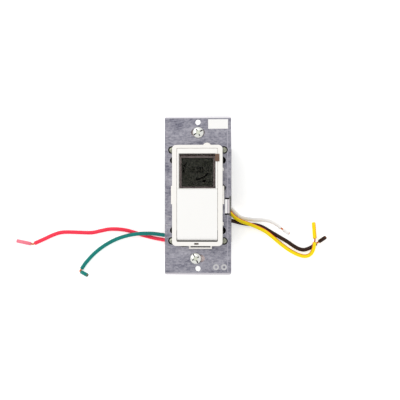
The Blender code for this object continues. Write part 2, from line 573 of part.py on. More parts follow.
def make_display():
    white = material("frame_white", (0.90, 0.89, 0.87), 0.35)
    dark = material("mask_dark", (0.10, 0.085, 0.085), 0.5)
    side = OPENING_X - GAP
    face = FRAME_TOP - 0.2 * MM
    lens_low = face - LENS_THICKNESS
    mask_top = lens_low - GAP
    ledge_top = mask_top - 0.25 * MM - GAP / 2
    ledge_low = ledge_top - 0.9 * MM
    glass_top = ledge_low - GAP
    glass_low = glass_top - 1.9 * MM
    bezel_low_y = DOOR_TOP_Y + GAP
    bezel = block("display_bezel", (-side, bezel_low_y, ledge_low), (side, OPENING_HIGH - GAP, face),
                  white, 0.5 * MM)
    lens_x = LENS_WIDTH / 2 - GAP
    cut(bezel, block("lens_pocket", (-lens_x - GAP, bezel_low_y - CUT, ledge_top),
                     (lens_x + GAP, LENS_Y[1] + GAP, face + CUT)))
    view_x = SCREEN_WIDTH / 2 + 0.3 * MM
    cut(bezel, block("view_window", (-view_x, SCREEN_Y[0] - 0.3 * MM, ledge_low - CUT),
                     (view_x, SCREEN_Y[1] + 0.3 * MM, ledge_top + CUT)))
    block("display_lens", (-lens_x, LENS_Y[0], lens_low), (lens_x, LENS_Y[1], face),
          material("lens_clear", (0.05, 0.05, 0.045), 0.08, 0.0, 0.4))
    mask = block("display_mask", (-lens_x, LENS_Y[0], mask_top - 0.25 * MM),
                 (lens_x, LENS_Y[1], mask_top), dark)
    cut(mask, block("mask_window", (-SCREEN_WIDTH / 2, SCREEN_Y[0], mask_top - CUT),
                    (SCREEN_WIDTH / 2, SCREEN_Y[1], mask_top + CUT)))
    film_low = FRAME_TOP + FILM_GAP
    film = block("lens_film", (-lens_x, LENS_Y[0], film_low), (lens_x, LENS_Y[1], film_low + 0.12 * MM),
                 material("film_clear", (0.6, 0.6, 0.6), 0.15, 0.0, 0.3))
    join(film, block("film_tab", (lens_x - 1 * MM, TAB_Y[0], film_low),
                     (lens_x + TAB_LENGTH, TAB_Y[1], film_low + 0.12 * MM)))

    glass_x = SCREEN_WIDTH / 2 + 1.0 * MM
    glass_y = (bezel_low_y + 0.6 * MM, SCREEN_Y[1] + 2.0 * MM)
    block("lcd_glass", (-glass_x, glass_y[0], glass_low), (glass_x, glass_y[1], glass_top),
          material("lcd_dark", (0.02, 0.02, 0.016), 0.15))
    tray_low = LOGIC_TOP + GAP
    tray_y = (bezel_low_y, OPENING_HIGH - 1.0 * MM)
    tray = block("lcd_tray", (-side + 0.3 * MM, tray_y[0], tray_low), (side - 0.3 * MM, tray_y[1], glass_top),
                 material("tray_grey", (0.3, 0.3, 0.3), 0.6))
    cut(tray, block("tray_pocket", (-glass_x - GAP, glass_y[0] - GAP, glass_low - GAP),
                    (glass_x + GAP, glass_y[1] + GAP, glass_top + CUT)))
    rubber = material("elastomer_pink", (0.5, 0.25, 0.25), 0.8)
    strip_x = SCREEN_WIDTH / 2 - 0.5 * MM
    for label, y in (("bottom", glass_y[0] + 1.6 * MM), ("top", glass_y[1] - 1.6 * MM)):
        cut(tray, block(f"strip_slot_{label}", (-strip_x - GAP, y - 1.1 * MM, tray_low - CUT),
                        (strip_x + GAP, y + 1.1 * MM, glass_low)))
        block(f"elastomer_{label}", (-strip_x, y - 0.8 * MM, tray_low),
              (strip_x, y + 0.8 * MM, glass_low - GAP), rubber)


def make_pad():
    white = material("frame_white", (0.90, 0.89, 0.87), 0.35)
    side = OPENING_X - DOOR_SIDE_GAP
    slide = pivot("pad_axis", (0, HINGE_Y, PAD_BOTTOM))
    swing = pivot("door_axis", (0, HINGE_Y, HINGE_Z), slide)

    door = block("cover_door", (-side, HINGE_Y + 0.2 * MM, DOOR_INNER), (side, DOOR_TOP_Y, FRAME_TOP), white,
                 parent=swing)
    nose = side - 0.05 * MM
    join(door, rod("door_nose", (-nose, HINGE_Y, HINGE_Z), (nose, HINGE_Y, HINGE_Z),
                   DOOR_NOSE_RADIUS, sides=32))
    stub = side + DOOR_SIDE_GAP + HINGE_STUB_LENGTH
    join(door, rod("door_stubs", (-stub, HINGE_Y, HINGE_Z), (stub, HINGE_Y, HINGE_Z),
                   HINGE_STUB_RADIUS, sides=12))

    plate_x = side - 0.1 * MM
    step = 0.06 * MM          # keeps joined faces from lying in one plane
    pad_end = DOOR_TOP_Y - 0.2 * MM
    nose_clear = DOOR_NOSE_RADIUS + GAP
    pad = block("pad_carrier", (-plate_x, HINGE_Y + nose_clear / 2, PAD_BOTTOM), (plate_x, pad_end, PAD_TOP),
                white, parent=slide)
    for end in (-1, 1):
        rim = sorted((end * (plate_x - step), end * (plate_x - PAD_RIM)))
        join(pad, block(f"pad_rim_{end}", (rim[0], HINGE_Y + nose_clear + GAP, PAD_BOTTOM + 5 * step),
                        (rim[1], pad_end - step, DOOR_INNER - GAP)))
        ear = sorted((end * (OPENING_X + GAP), end * (OPENING_X + GAP + EAR_THICKNESS)))
        root = sorted((end * (OPENING_X + GAP + EAR_THICKNESS - step), end * (plate_x - 1 * MM)))
        join(pad,
             block(f"ear_root_{end}", (root[0], HINGE_Y - EAR_RADIUS + 2 * step, PAD_BOTTOM + step),
                   (root[1], HINGE_Y + EAR_ROOT_REACH, PAD_BOTTOM + 0.9 * MM)),
             block(f"ear_{end}", (ear[0], HINGE_Y - EAR_RADIUS + step, PAD_BOTTOM + 2 * step),
                   (ear[1], HINGE_Y + EAR_RADIUS - step, HINGE_Z)),
             rod(f"ear_top_{end}", (ear[0] + step, HINGE_Y, HINGE_Z), (ear[1] - step, HINGE_Y, HINGE_Z),
                 EAR_RADIUS))
        cut(pad, rod(f"ear_bore_{end}", (ear[0] - CUT / 2, HINGE_Y, HINGE_Z),
                     (ear[1] + CUT / 2, HINGE_Y, HINGE_Z), HINGE_STUB_RADIUS + 0.25 * MM, sides=16))
    cut(pad, rod("nose_clearance", (-plate_x - 0.1 * MM, HINGE_Y, HINGE_Z),
                 (plate_x + 0.1 * MM, HINGE_Y, HINGE_Z), nose_clear, sides=32))

    keys = material("key_grey", (0.25, 0.26, 0.28), 0.55)
    middle_x, middle_y = KEY_PITCH / 2, (HINGE_Y + DOOR_TOP_Y) / 2 + KEY_RAISE
    places = {"up": (middle_x, middle_y + KEY_PITCH),
              "down": (middle_x, middle_y - KEY_PITCH),
              "left": (middle_x - KEY_PITCH, middle_y),
              "right": (middle_x + KEY_PITCH, middle_y),
              "ok": (middle_x, middle_y),
              "menu": (middle_x - MENU_PITCHES * KEY_PITCH, middle_y)}
    mat_top = LOGIC_TOP + GAP + MAT_THICKNESS
    low = mat_top + BUTTON_TRAVEL + GAP
    for label, (x, y) in places.items():
        axis = pivot(f"button_{label}_axis", (x, y, low))
        rod(f"button_{label}", (x, y, low), (x, y, PAD_TOP + BUTTON_PROUD), BUTTON_RADIUS, keys, parent=axis)
        cut(pad, rod(f"key_hole_{label}", (x, y, PAD_BOTTOM - CUT), (x, y, PAD_TOP + CUT),
                     BUTTON_RADIUS + GAP))
    switch_y = HINGE_Y + SWITCH_OFFSET
    block("keypad_mat", (-side + 1.2 * MM, switch_y + 2.6 * MM, LOGIC_TOP + GAP),
          (side - 1.2 * MM, DOOR_TOP_Y - 3.1 * MM, mat_top),
          material("mat_grey", (0.35, 0.35, 0.36), 0.85), 1.0 * MM)
    post_low = PAD_BOTTOM - POST_LENGTH
    join(pad, rod("press_post", (0, switch_y, post_low), (0, switch_y, PAD_BOTTOM + 0.5 * MM),
                  POST_RADIUS, sides=16))
    turned("pad_switch", [(0.0, post_low - PAD_TRAVEL - GAP), (SWITCH_RADIUS, post_low - PAD_TRAVEL - GAP),
                          (SWITCH_RADIUS, LOGIC_TOP + GAP), (0.0, LOGIC_TOP + GAP)],
           (0, switch_y, 0), material("switch_metal", (0.5, 0.5, 0.5), 0.4, 1.0), 20)

    steel = material("spring_steel", (0.5, 0.5, 0.52), 0.3, 1.0)
    spring_x = OPENING_X - SPRING_INSET
    for label, x in (("left", -spring_x), ("right", spring_x)):
        foot, top = LOGIC_TOP + GAP + SPRING_WIRE, PAD_BOTTOM - GAP - SPRING_WIRE
        points = []
        for i in range(SPRING_TURNS * 10 + 1):
            turn = 2 * math.pi * i / 10
            height = foot + (top - foot) * i / (SPRING_TURNS * 10)
            points.append((x + SPRING_RADIUS * math.cos(turn),
                           switch_y + SPRING_RADIUS * math.sin(turn), height))
        tube(f"pad_spring_{label}", points, SPRING_WIRE, steel)


def make_boards():
    green = material("board_green", (0.02, 0.13, 0.05), 0.5)
    black = material("component_black", (0.02, 0.02, 0.02), 0.5)
    metal = material("switch_metal", (0.5, 0.5, 0.5), 0.4, 1.0)
    half = LOGIC_BOARD_WIDTH / 2
    board_y = (WINDOW_Y[0] + 0.4 * MM, WINDOW_Y[1] - 0.4 * MM)
    block("logic_board", (-half, board_y[0], LOGIC_BOTTOM), (half, board_y[1], LOGIC_TOP), green)
    under = LOGIC_BOTTOM - GAP
    block("controller_chip", (-5 * MM, -2 * MM, under - 1.5 * MM), (5 * MM, 8 * MM, under), black)
    block("clock_crystal", (7 * MM, 2 * MM, under - 1.6 * MM), (9 * MM, 8 * MM, under), metal, 0.9 * MM)
    rod("backup_cell", (0, -14 * MM, under - 3.2 * MM), (0, -14 * MM, under), 5.0 * MM, metal)
    block("board_header", (-8 * MM, 24 * MM, POWER_TOP + GAP), (8 * MM, 26.6 * MM, under), black)

    ring_x, ring_low, wall = half - 0.4 * MM, POWER_TOP + GAP, 1.4 * MM
    ring_y = (-POWER_BOARD_LENGTH / 2 + 1 * MM, POWER_BOARD_LENGTH / 2 + 2.5 * MM)
    spacer = block("spacer_frame", (-ring_x, ring_y[0], ring_low), (ring_x, ring_y[1], under),
                   material("tray_grey", (0.3, 0.3, 0.3), 0.6))
    cut(spacer, block("spacer_hollow", (-ring_x + wall, ring_y[0] + wall, ring_low - CUT),
                      (ring_x - wall, ring_y[1] - wall, under + CUT)))

    half_x, half_y = POWER_BOARD_WIDTH / 2, POWER_BOARD_LENGTH / 2
    block("power_board", (-half_x, -half_y, POWER_BOTTOM), (half_x, half_y, POWER_TOP), green)
    top = POWER_BOTTOM - GAP
    block("relay", (-16 * MM, -21 * MM, SHEET_TOP + RELAY_CLEARANCE), (-0.5 * MM, -2 * MM, top),
          material("relay_blue", (0.02, 0.06, 0.25), 0.4), 0.8 * MM)
    block("transformer", (-15.5 * MM, 2 * MM, SHEET_TOP + TRANSFORMER_CLEARANCE), (3.5 * MM, 22 * MM, top),
          material("transformer_yellow", (0.6, 0.42, 0.05), 0.6), 1.0 * MM)
    rod("smoothing_capacitor", (10 * MM, 14 * MM, SHEET_TOP + CAPACITOR_CLEARANCE),
        (10 * MM, 14 * MM, top), 5.0 * MM,
        material("sleeve_black", (0.015, 0.015, 0.03), 0.35))
    rod("varistor", (6 * MM, -12 * MM, top - 5.2 * MM), (9.5 * MM, -12 * MM, top - 5.2 * MM), 5.0 * MM,
        material("varistor_blue", (0.02, 0.1, 0.3), 0.5))
    rod("fuse", (3 * MM, -21.5 * MM, top - 2.6 * MM), (13 * MM, -21.5 * MM, top - 2.6 * MM), 2.5 * MM,
        material("fuse_glass", (0.6, 0.62, 0.6), 0.2))
    inset = 1.7 * MM
    block("insulating_sheet", (-INNER_X + inset, -INNER_Y + inset, HOUSING_FLOOR + GAP),
          (INNER_X - inset, INNER_Y - inset, SHEET_TOP),
          material("fish_paper", (0.25, 0.12, 0.05), 0.8))


def make_leads():
    copper = material("copper", (0.75, 0.32, 0.12), 0.3, 1.0)
    radius = LEAD_DIAMETER / 2
    for name, lead in LEADS.items():
        jacket = material(f"lead_{name}", lead["color"], 0.4)
        points = smooth_route([Vector(p) * MM for p in lead["route"]], 2.4 * LEAD_DIAMETER)
        tube(f"lead_{name}", points, radius, jacket)
        # the bare conductor bends at an elbow just clear of the jacket's cut end
        heading = Vector(lead["heading"]).normalized()
        along = (points[-1] - points[-2]).normalized()
        elbow = points[-1] + along * (2 * GAP + radius * along.cross(heading).length)
        slug = elbow + heading * BARE_GAP
        tip = rod(f"lead_{name}_tip", slug, slug + heading * lead["slug"], radius, copper, 12)
        core = CONDUCTOR_DIAMETER / 2
        join(tip, rod(f"conductor_{name}", elbow - heading * core / 2, slug + heading * core, core, sides=10),
             rod(f"conductor_root_{name}", points[-1] + along * GAP, elbow + along * core / 2,
                 core * 0.98, sides=10))

    grey = material("tray_grey", (0.3, 0.3, 0.3), 0.6)
    for label, side in (("left", -1), ("right", 1)):
        xs = sorted((side * (INNER_X - GAP), side * (INNER_X - CLAMP_DEPTH)))
        y_low, y_high = (-INNER_Y + reach for reach in CLAMP_REACH[label])
        block(f"lead_clamp_{label}", (xs[0], y_low, SHEET_TOP + GAP),
              (xs[1], y_high, CLAMP_TOP), grey, CLAMP_CORNER)


def main():
    global PARTS, CUTTERS
    for old in list(bpy.data.objects):
        bpy.data.objects.remove(old, do_unlink=True)
    PARTS = collection("timer_switch")
    CUTTERS = collection("cutters")
    make_strap()
    make_box_screws()
    make_housing()
    make_frame()
    make_display()
    make_pad()
    make_boards()
    make_leads()


main()
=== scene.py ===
import json
import math

import bmesh
import bpy
from mathutils import Matrix, Vector


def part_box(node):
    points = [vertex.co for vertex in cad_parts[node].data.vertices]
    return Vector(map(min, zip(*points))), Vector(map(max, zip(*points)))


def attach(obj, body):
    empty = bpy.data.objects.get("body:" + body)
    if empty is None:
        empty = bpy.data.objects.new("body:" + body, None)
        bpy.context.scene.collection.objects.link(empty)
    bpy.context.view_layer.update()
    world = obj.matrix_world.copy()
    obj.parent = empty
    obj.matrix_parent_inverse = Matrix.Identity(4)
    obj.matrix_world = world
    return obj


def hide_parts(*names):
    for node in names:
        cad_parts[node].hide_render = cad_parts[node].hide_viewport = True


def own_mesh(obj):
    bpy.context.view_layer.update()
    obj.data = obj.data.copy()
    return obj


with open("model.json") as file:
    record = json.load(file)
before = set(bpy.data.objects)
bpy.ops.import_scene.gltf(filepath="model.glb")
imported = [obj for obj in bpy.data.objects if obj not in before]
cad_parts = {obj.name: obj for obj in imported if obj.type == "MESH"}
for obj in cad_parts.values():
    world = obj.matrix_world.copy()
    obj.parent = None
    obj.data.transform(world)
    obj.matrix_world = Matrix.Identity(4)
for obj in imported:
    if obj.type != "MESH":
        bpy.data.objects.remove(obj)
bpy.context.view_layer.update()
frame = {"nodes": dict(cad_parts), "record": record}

mm = 0.001
scene = bpy.context.scene
bodyOfNode = {node: body for body, nodes in frame["record"]["behaviour"]["bodies"].items() for node in nodes}


# shader groups: each one is built once and placed in many materials

def newGroup(name, inputs, outputs):
    tree = bpy.data.node_groups.new(name, "ShaderNodeTree")
    for label, kind, value in inputs:
        socket = tree.interface.new_socket(name=label, in_out="INPUT", socket_type="NodeSocket" + kind)
        socket.default_value = value
    for label, kind in outputs:
        tree.interface.new_socket(name=label, in_out="OUTPUT", socket_type="NodeSocket" + kind)
    return tree, tree.nodes.new("NodeGroupInput"), tree.nodes.new("NodeGroupOutput")


def addNode(tree, kind, settings=None, values=None):
    node = tree.nodes.new(kind)
    for key, value in (settings or {}).items():
        setattr(node, key, value)
    for key, value in (values or {}).items():
        node.inputs[key].default_value = value
    return node


def calc(tree, how, values=None, clamp=False):
    return addNode(tree, "ShaderNodeMath", {"operation": how, "use_clamp": clamp}, values)


def calcVector(tree, how):
    return addNode(tree, "ShaderNodeVectorMath", {"operation": how})


def connect(tree, *links):
    # each link is (from node, its output, to node, its input)
    for source, output, target, place in links:
        tree.links.new(source.outputs[output], target.inputs[place])


def makeMottle():
    # cloudy change over the surface, large patches with finer ones in them
    tree, given, out = newGroup(
        "mottle",
        [("Scale", "Float", 300.0), ("Fine Scale", "Float", 1500.0),
         ("Fine Share", "Float", 0.35), ("Contrast", "Float", 1.0),
         ("Stretch", "Vector", (1.0, 1.0, 1.0))],
        [("Mask", "Float")])
    place = addNode(tree, "ShaderNodeTexCoord")
    pull = calcVector(tree, "MULTIPLY")
    connect(tree, (place, "Object", pull, 0), (given, "Stretch", pull, 1))
    large = addNode(tree, "ShaderNodeTexNoise", values={"Detail": 3.0, "Roughness": 0.55})
    fine = addNode(tree, "ShaderNodeTexNoise", values={"Detail": 4.0, "Roughness": 0.6})
    mix = addNode(tree, "ShaderNodeMix")
    centre = calc(tree, "SUBTRACT", {1: 0.5})
    gain = calc(tree, "MULTIPLY")
    back = calc(tree, "ADD", {1: 0.5}, True)
    for noise, label in ((large, "Scale"), (fine, "Fine Scale")):
        connect(tree, (pull, 0, noise, "Vector"), (given, label, noise, "Scale"))
    connect(tree, (given, "Fine Share", mix, 0), (large, "Fac", mix, 2), (fine, "Fac", mix, 3),
            (mix, 0, centre, 0), (centre, 0, gain, 0), (given, "Contrast", gain, 1), (gain, 0, back, 0),
            (back, 0, out, "Mask"))
    return tree


def makeGrain():
    # fine relief, pulled out along one axis for rolled or brushed metal
    tree, given, out = newGroup(
        "grain",
        [("Scale", "Float", 4000.0), ("Stretch", "Vector", (1.0, 1.0, 1.0)),
         ("Strength", "Float", 0.2), ("Depth", "Float", 0.00003)],
        [("Value", "Float"), ("Normal", "Vector")])
    place = addNode(tree, "ShaderNodeTexCoord")
    pull = calcVector(tree, "MULTIPLY")
    noise = addNode(tree, "ShaderNodeTexNoise", values={"Detail": 3.0, "Roughness": 0.6})
    bump = addNode(tree, "ShaderNodeBump")
    connect(tree, (place, "Object", pull, 0), (given, "Stretch", pull, 1), (pull, 0, noise, "Vector"),
            (given, "Scale", noise, "Scale"), (noise, "Fac", bump, "Height"),
            (given, "Strength", bump, "Strength"), (given, "Depth", bump, "Distance"),
            (noise, "Fac", out, "Value"), (bump, "Normal", out, "Normal"))
    return tree


def makePaintedEdgeLight():
    # painted edge highlight: one along sharp edges, broken up by noise, zero on flat faces
    tree, given, out = newGroup(
        "paintedEdgeLight",
        [("Radius", "Float", 0.0003), ("Gain", "Float", 4.0),
         ("Break Up", "Float", 900.0)],
        [("Mask", "Float")])
    place = addNode(tree, "ShaderNodeTexCoord")
    rounded = addNode(tree, "ShaderNodeBevel", {"samples": 4})
    geometry = addNode(tree, "ShaderNodeNewGeometry")
    dot = calcVector(tree, "DOT_PRODUCT")
    away = calc(tree, "SUBTRACT", {0: 1.0})
    gain = calc(tree, "MULTIPLY", clamp=True)
    noise = addNode(tree, "ShaderNodeTexNoise", values={"Detail": 2.0})
    broken = calc(tree, "MULTIPLY", clamp=True)
    connect(tree, (given, "Radius", rounded, "Radius"), (rounded, "Normal", dot, 0),
            (geometry, "Normal", dot, 1), (dot, "Value", away, 1), (away, 0, gain, 0),
            (given, "Gain", gain, 1), (place, "Object", noise, "Vector"), (given, "Break Up", noise, "Scale"),
            (gain, 0, broken, 0), (noise, "Fac", broken, 1), (broken, 0, out, "Mask"))
    return tree


def makeBand():
    # one inside a box of Object coordinates, with soft sides
    tree, given, out = newGroup(
        "band",
        [("Centre", "Vector", (0.0, 0.0, 0.0)), ("Half Size", "Vector", (1.0, 1.0, 1.0)),
         ("Softness", "Float", 0.0002)],
        [("Mask", "Float")])
    place = addNode(tree, "ShaderNodeTexCoord")
    shift = calcVector(tree, "SUBTRACT")
    size = calcVector(tree, "ABSOLUTE")
    inside = calcVector(tree, "SUBTRACT")
    parts = addNode(tree, "ShaderNodeSeparateXYZ")
    lowXy = calc(tree, "MINIMUM")
    lowAll = calc(tree, "MINIMUM")
    ramp = calc(tree, "DIVIDE", clamp=True)
    connect(tree, (place, "Object", shift, 0), (given, "Centre", shift, 1), (shift, 0, size, 0),
            (given, "Half Size", inside, 0), (size, 0, inside, 1), (inside, 0, parts, 0),
            (parts, 0, lowXy, 0), (parts, 1, lowXy, 1), (lowXy, 0, lowAll, 0), (parts, 2, lowAll, 1),
            (lowAll, 0, ramp, 0), (given, "Softness", ramp, 1), (ramp, 0, out, "Mask"))
    return tree


mottle, grain, paintedEdgeLight, band = makeMottle(), makeGrain(), makePaintedEdgeLight(), makeBand()
print("shader groups made")


# materials

def placeGroup(tree, group, values):
    node = tree.nodes.new("ShaderNodeGroup")
    node.node_tree = group
    for key, value in values.items():
        node.inputs[key].default_value = value
    return node


def linear(red, green, blue):
    # a colour picked on a screen, turned to the shader's own scale
    return tuple(((c / 255 + 0.055) / 1.055) ** 2.4 if c > 10 else c / 255 / 12.92 for c in (red, green, blue))


def mixColour(tree, mask, below, above):
    mix = addNode(tree, "ShaderNodeMix", {"data_type": "RGBA"})
    tree.links.new(mask, mix.inputs[0])
    for socket, value in ((mix.inputs[6], below), (mix.inputs[7], above)):
        if isinstance(value, tuple):
            socket.default_value = (*linear(*value), 1.0)
        else:
            tree.links.new(value, socket)
    return mix.outputs[2]


finishes = {}


def finish(name, low, high, rough=(0.4, 0.5), metallic=0.0, cloud=(300.0, 1500.0, 0.35, 1.0),
           relief=(4000.0, (1.0, 1.0, 1.0), 0.15, 0.00002), edgeLight=None, edgeLightGain=3.0,
           bands=(), constants=None):
    # colours are (red, green, blue) from 0 to 255; the material is kept under its name
    made = finishes[name] = bpy.data.materials.new(name)
    made.use_nodes = True
    tree = made.node_tree
    shader = tree.nodes["Principled BSDF"]
    shader.inputs["Metallic"].default_value = metallic
    for key, value in (constants or {}).items():
        shader.inputs[key].default_value = value
    cloudInputs = ("Scale", "Fine Scale", "Fine Share", "Contrast", "Stretch")
    clouds = placeGroup(tree, mottle, dict(zip(cloudInputs, cloud)))
    colour = mixColour(tree, clouds.outputs["Mask"], low, high)
    # edgeLight is a painted highlight colour laid along sharp edges
    if edgeLight is not None:
        edges = placeGroup(tree, paintedEdgeLight, {"Gain": edgeLightGain})
        colour = mixColour(tree, edges.outputs["Mask"], colour, edgeLight)
    for centre, halfSize, shade in bands:
        strip = placeGroup(tree, band, {"Centre": centre, "Half Size": halfSize})
        colour = mixColour(tree, strip.outputs["Mask"], colour, shade)
    tree.links.new(colour, shader.inputs["Base Color"])
    spread = addNode(tree, "ShaderNodeMapRange", values={3: rough[0], 4: rough[1]})
    connect(tree, (clouds, "Mask", spread, 0), (spread, 0, shader, "Roughness"))
    skin = placeGroup(tree, grain, dict(zip(("Scale", "Stretch", "Strength", "Depth"), relief)))
    connect(tree, (skin, "Normal", shader, "Normal"))
    return made


def jacketFinish(name, low, high, stripe=None):
    # the stripe follows the lead's own UV map, round in U and along in V
    made = finish(name, low, high, (0.28, 0.42), cloud=(180.0, 900.0, 0.4, 1.2),
                  relief=(1500.0, (1.0, 1.0, 1.0), 0.12, 0.00004), constants={"Specular IOR Level": 0.2})
    if stripe is None:
        return made
    tree = made.node_tree
    shader = tree.nodes["Principled BSDF"]
    around = addNode(tree, "ShaderNodeUVMap", {"uv_map": "along"})
    parts = addNode(tree, "ShaderNodeSeparateXYZ")
    offset = calc(tree, "SUBTRACT", {1: stripe["at"]})
    size = calc(tree, "ABSOLUTE")
    inside = calc(tree, "LESS_THAN", {1: stripe["width"] / 2})
    connect(tree, (around, "UV", parts, 0), (parts, 0, offset, 0), (offset, 0, size, 0), (size, 0, inside, 0))
    ground = shader.inputs["Base Color"].links[0].from_socket
    tree.links.new(mixColour(tree, inside.outputs[0], ground, stripe["colour"]), shader.inputs["Base Color"])
    return made


def sheetFinish(name, clear, tint, tab, tabStart):
    # a peel-off film: nearly clear over the lens, tinted where its tab starts
    made = finish(name, clear, tint, (0.3, 0.4), cloud=(120.0, 800.0, 0.2, 1.4),
                  relief=(250.0, (1.0, 1.0, 1.0), 0.05, 0.00002),
                  constants={"Specular IOR Level": 0.05})
    tree = made.node_tree
    shader = tree.nodes["Principled BSDF"]
    place = addNode(tree, "ShaderNodeTexCoord")
    parts = addNode(tree, "ShaderNodeSeparateXYZ")
    past = calc(tree, "GREATER_THAN", {1: tabStart})
    cover = addNode(tree, "ShaderNodeMapRange", values={3: 0.01, 4: 0.88})
    connect(tree, (place, "Object", parts, 0), (parts, 0, past, 0), (past, 0, cover, 0),
            (cover, 0, shader, "Alpha"))
    ground = shader.inputs["Base Color"].links[0].from_socket
    tree.links.new(mixColour(tree, past.outputs[0], ground, tab), shader.inputs["Base Color"])
    return made


strapLo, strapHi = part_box("yoke_strap")
lensLo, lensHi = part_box("display_lens")
# half size of the painted highlight bands along the strap's two ends
endHighlightSize = (strapHi.x, 0.0007, 0.001)
strapDark, strapLight, strapEdgeLight = (86, 86, 103), (180, 178, 187), (178, 176, 184)
# painted highlight: lighter bands along both strap ends, and a lighter streak along the score line near the
# right edge
strapHighlights = [((0, strapHi.y - 0.0006, strapHi.z), endHighlightSize, (228, 226, 230)),
              ((0, strapLo.y + 0.0006, strapHi.z), endHighlightSize, (198, 194, 200)),
              ((0.0197, 0, strapHi.z), (0.0004, strapHi.y - 0.0015, 0.001), (168, 166, 176))]
# painted highlight on the tongue's bend, and painted shade on the grey turn-down beyond it
tongueLightAndShade = [((0.0187, -0.00715, strapHi.z - 0.001), (0.0008, 0.006, 0.0025), (255, 254, 254)),
               ((0.0203, -0.00715, strapHi.z - 0.003), (0.0008, 0.006, 0.0045), (200, 192, 196))]
# painted shade: the frame's inner walls are painted warm as shade, and painted dark under the door's nose and
# in the slot of its foot
frameShades = [((0, 0.0004, 0.036), (0.01375, 0.03115, 0.0032), (232, 206, 190)),
              ((0, -0.0304, 0.036), (0.0136, 0.0003, 0.0034), (44, 28, 20)),
              ((0.00195, -0.03376, 0.0346), (0.00665, 0.00052, 0.0020), (5, 4, 4))]
even = (1, 1, 1)      # no stretch
# strapSteel and tongueSteel take strapEdgeLight as a painted edge highlight
finish("strapSteel", strapDark, strapLight, (0.36, 0.55), 0.7, (110, 1000, 0.62, 3, (0.5, 1, 1)), (2600, (0.5,
       1, 1), 0.3, 3e-05), strapEdgeLight, 3, strapHighlights)
finish("tongueSteel", (118, 118, 134), (172, 170, 180), (0.3, 0.5), 0.3, (170, 1100, 0.5, 1.2, (0.5, 1, 1)),
       (2600, (0.5, 1, 1), 0.2, 3e-05), strapEdgeLight, 3, tongueLightAndShade)
# a lighter colour painted on the cut faces of the stamped rings and score lines as highlight
finish("grooveHighlight", (182, 181, 183), (214, 213, 214), (0.5, 0.65), 0.5, (400, 2000, 0.5, 1.6))
# dark brown painted shade for the gap under the door's nose
finish("gapShadeBrown", (40, 24, 16), (62, 42, 32), (0.7, 0.8), 0, constants={"Specular IOR Level": 0.1})
# painted shade for the walls of the screws' drive slots and the strap's slots
finish("driveShade", (10, 10, 9), (34, 34, 30), (0.55, 0.7), 0.4, constants={"Specular IOR Level": 0.2})
# painted reflection on the floor of the screw's centre recess
finish("driveReflection", (176, 182, 162), (238, 240, 228), (0.3, 0.42), 0.5, (900, 3500, 0.5, 1.8))
# the last colour is a painted edge highlight
finish("screwSteel", (222, 224, 218), (252, 252, 248), (0.2, 0.34), 0.8, (500, 2500, 0.4, 1), (3500, even,
       0.1, 2e-05), (250, 250, 246), 3)
finish("rivetMetal", (118, 120, 108), (196, 198, 180), (0.3, 0.45), 0.8, (700, 2600, 0.5, 2), (3500, even,
       0.15, 2e-05))
finish("fibrePink", (240, 214, 210), (255, 240, 236), (0.75, 0.92), 0, (400, 3000, 0.6, 1.4), (5000, (1, 0.3,
       1), 0.5, 4e-05))
finish("frameWhite", (246, 243, 238), (250, 247, 242), (0.3, 0.38), 0, (120, 900, 0.3, 1), (5200, even, 0.08,
       1e-05), bands=frameShades)
finish("bezelWhite", (246, 244, 240), (250, 248, 244), (0.3, 0.38), 0, (120, 900, 0.3, 1), (5200, even, 0.08,
       1e-05))
finish("doorWhite", (247, 246, 243), (250, 249, 247), (0.32, 0.4), 0, (100, 800, 0.3, 1), (5200, even, 0.08,
       1e-05))
# the last colour is a painted edge highlight on the black housing's edges
finish("housingBlack", (8, 8, 9), (24, 24, 26), (0.42, 0.6), 0, (150, 1300, 0.4, 1.2), (1800, even, 0.35,
       6e-05), (66, 66, 70), 1.4, constants={"Specular IOR Level": 0.3})
# black plastic darkened to near black: painted shade where the cover shows through the strap's holes
finish("coverBlackShade", (2, 2, 2), (7, 7, 7), (0.6, 0.75), 0, (150, 1300, 0.4, 1.2),
       constants={"Specular IOR Level": 0.1})
finish("lcdDark", (31, 33, 26), (47, 49, 40), (0.3, 0.42), 0, (150, 1000, 0.3, 1.4), (2600, even, 0.05,
       1e-05), constants={"Specular IOR Level": 0.15})
# black print on the display, also used as painted shade in the frame foot's slot
finish("inkAndShadeBlack", (0, 0, 0), (3, 3, 3), (0.6, 0.7), constants={"Specular IOR Level": 0})
finish("lcdFaint", (14, 15, 12), (24, 25, 20), (0.5, 0.6), constants={"Specular IOR Level": 0.1})
# the mask is darker along the lens's top edge
finish("maskBrown", (100, 90, 88), (124, 113, 111), (0.5, 0.62), 0, (300, 1500, 0.4, 1.2),
       constants={"Specular IOR Level": 0.1}, bands=[((0, lensHi.y - 0.0006, 0.038), (0.0122, 0.0009, 0.001),
       (60, 50, 48))])
finish("lensClear", (40, 38, 36), (52, 50, 46), (0.3, 0.36), relief=(900, even, 0, 1e-05),
       constants={"Alpha": 0.03, "Specular IOR Level": 0.05})
sheetFinish("filmClear", (110, 104, 98), (130, 122, 114), (122, 98, 84), lensHi.x)
finish("labelPaper", (244, 243, 241), (252, 251, 249), (0.8, 0.9), 0, (300, 2600, 0.5, 1), (3800, even, 0.3,
       2e-05))
finish("keyRubber", (112, 116, 122), (134, 138, 144), (0.55, 0.7), relief=(3000, even, 0.3, 3e-05))
finish("pipeClear", (120, 112, 104), (150, 142, 132), (0.15, 0.25), constants={"Alpha": 0.85})
finish("copperStrand", (196, 104, 60), (236, 150, 96), (0.2, 0.35), 0.9, (900, 4000, 0.4, 1.4))
jacketFinish("jacketRed", (248, 36, 66), (255, 68, 94))
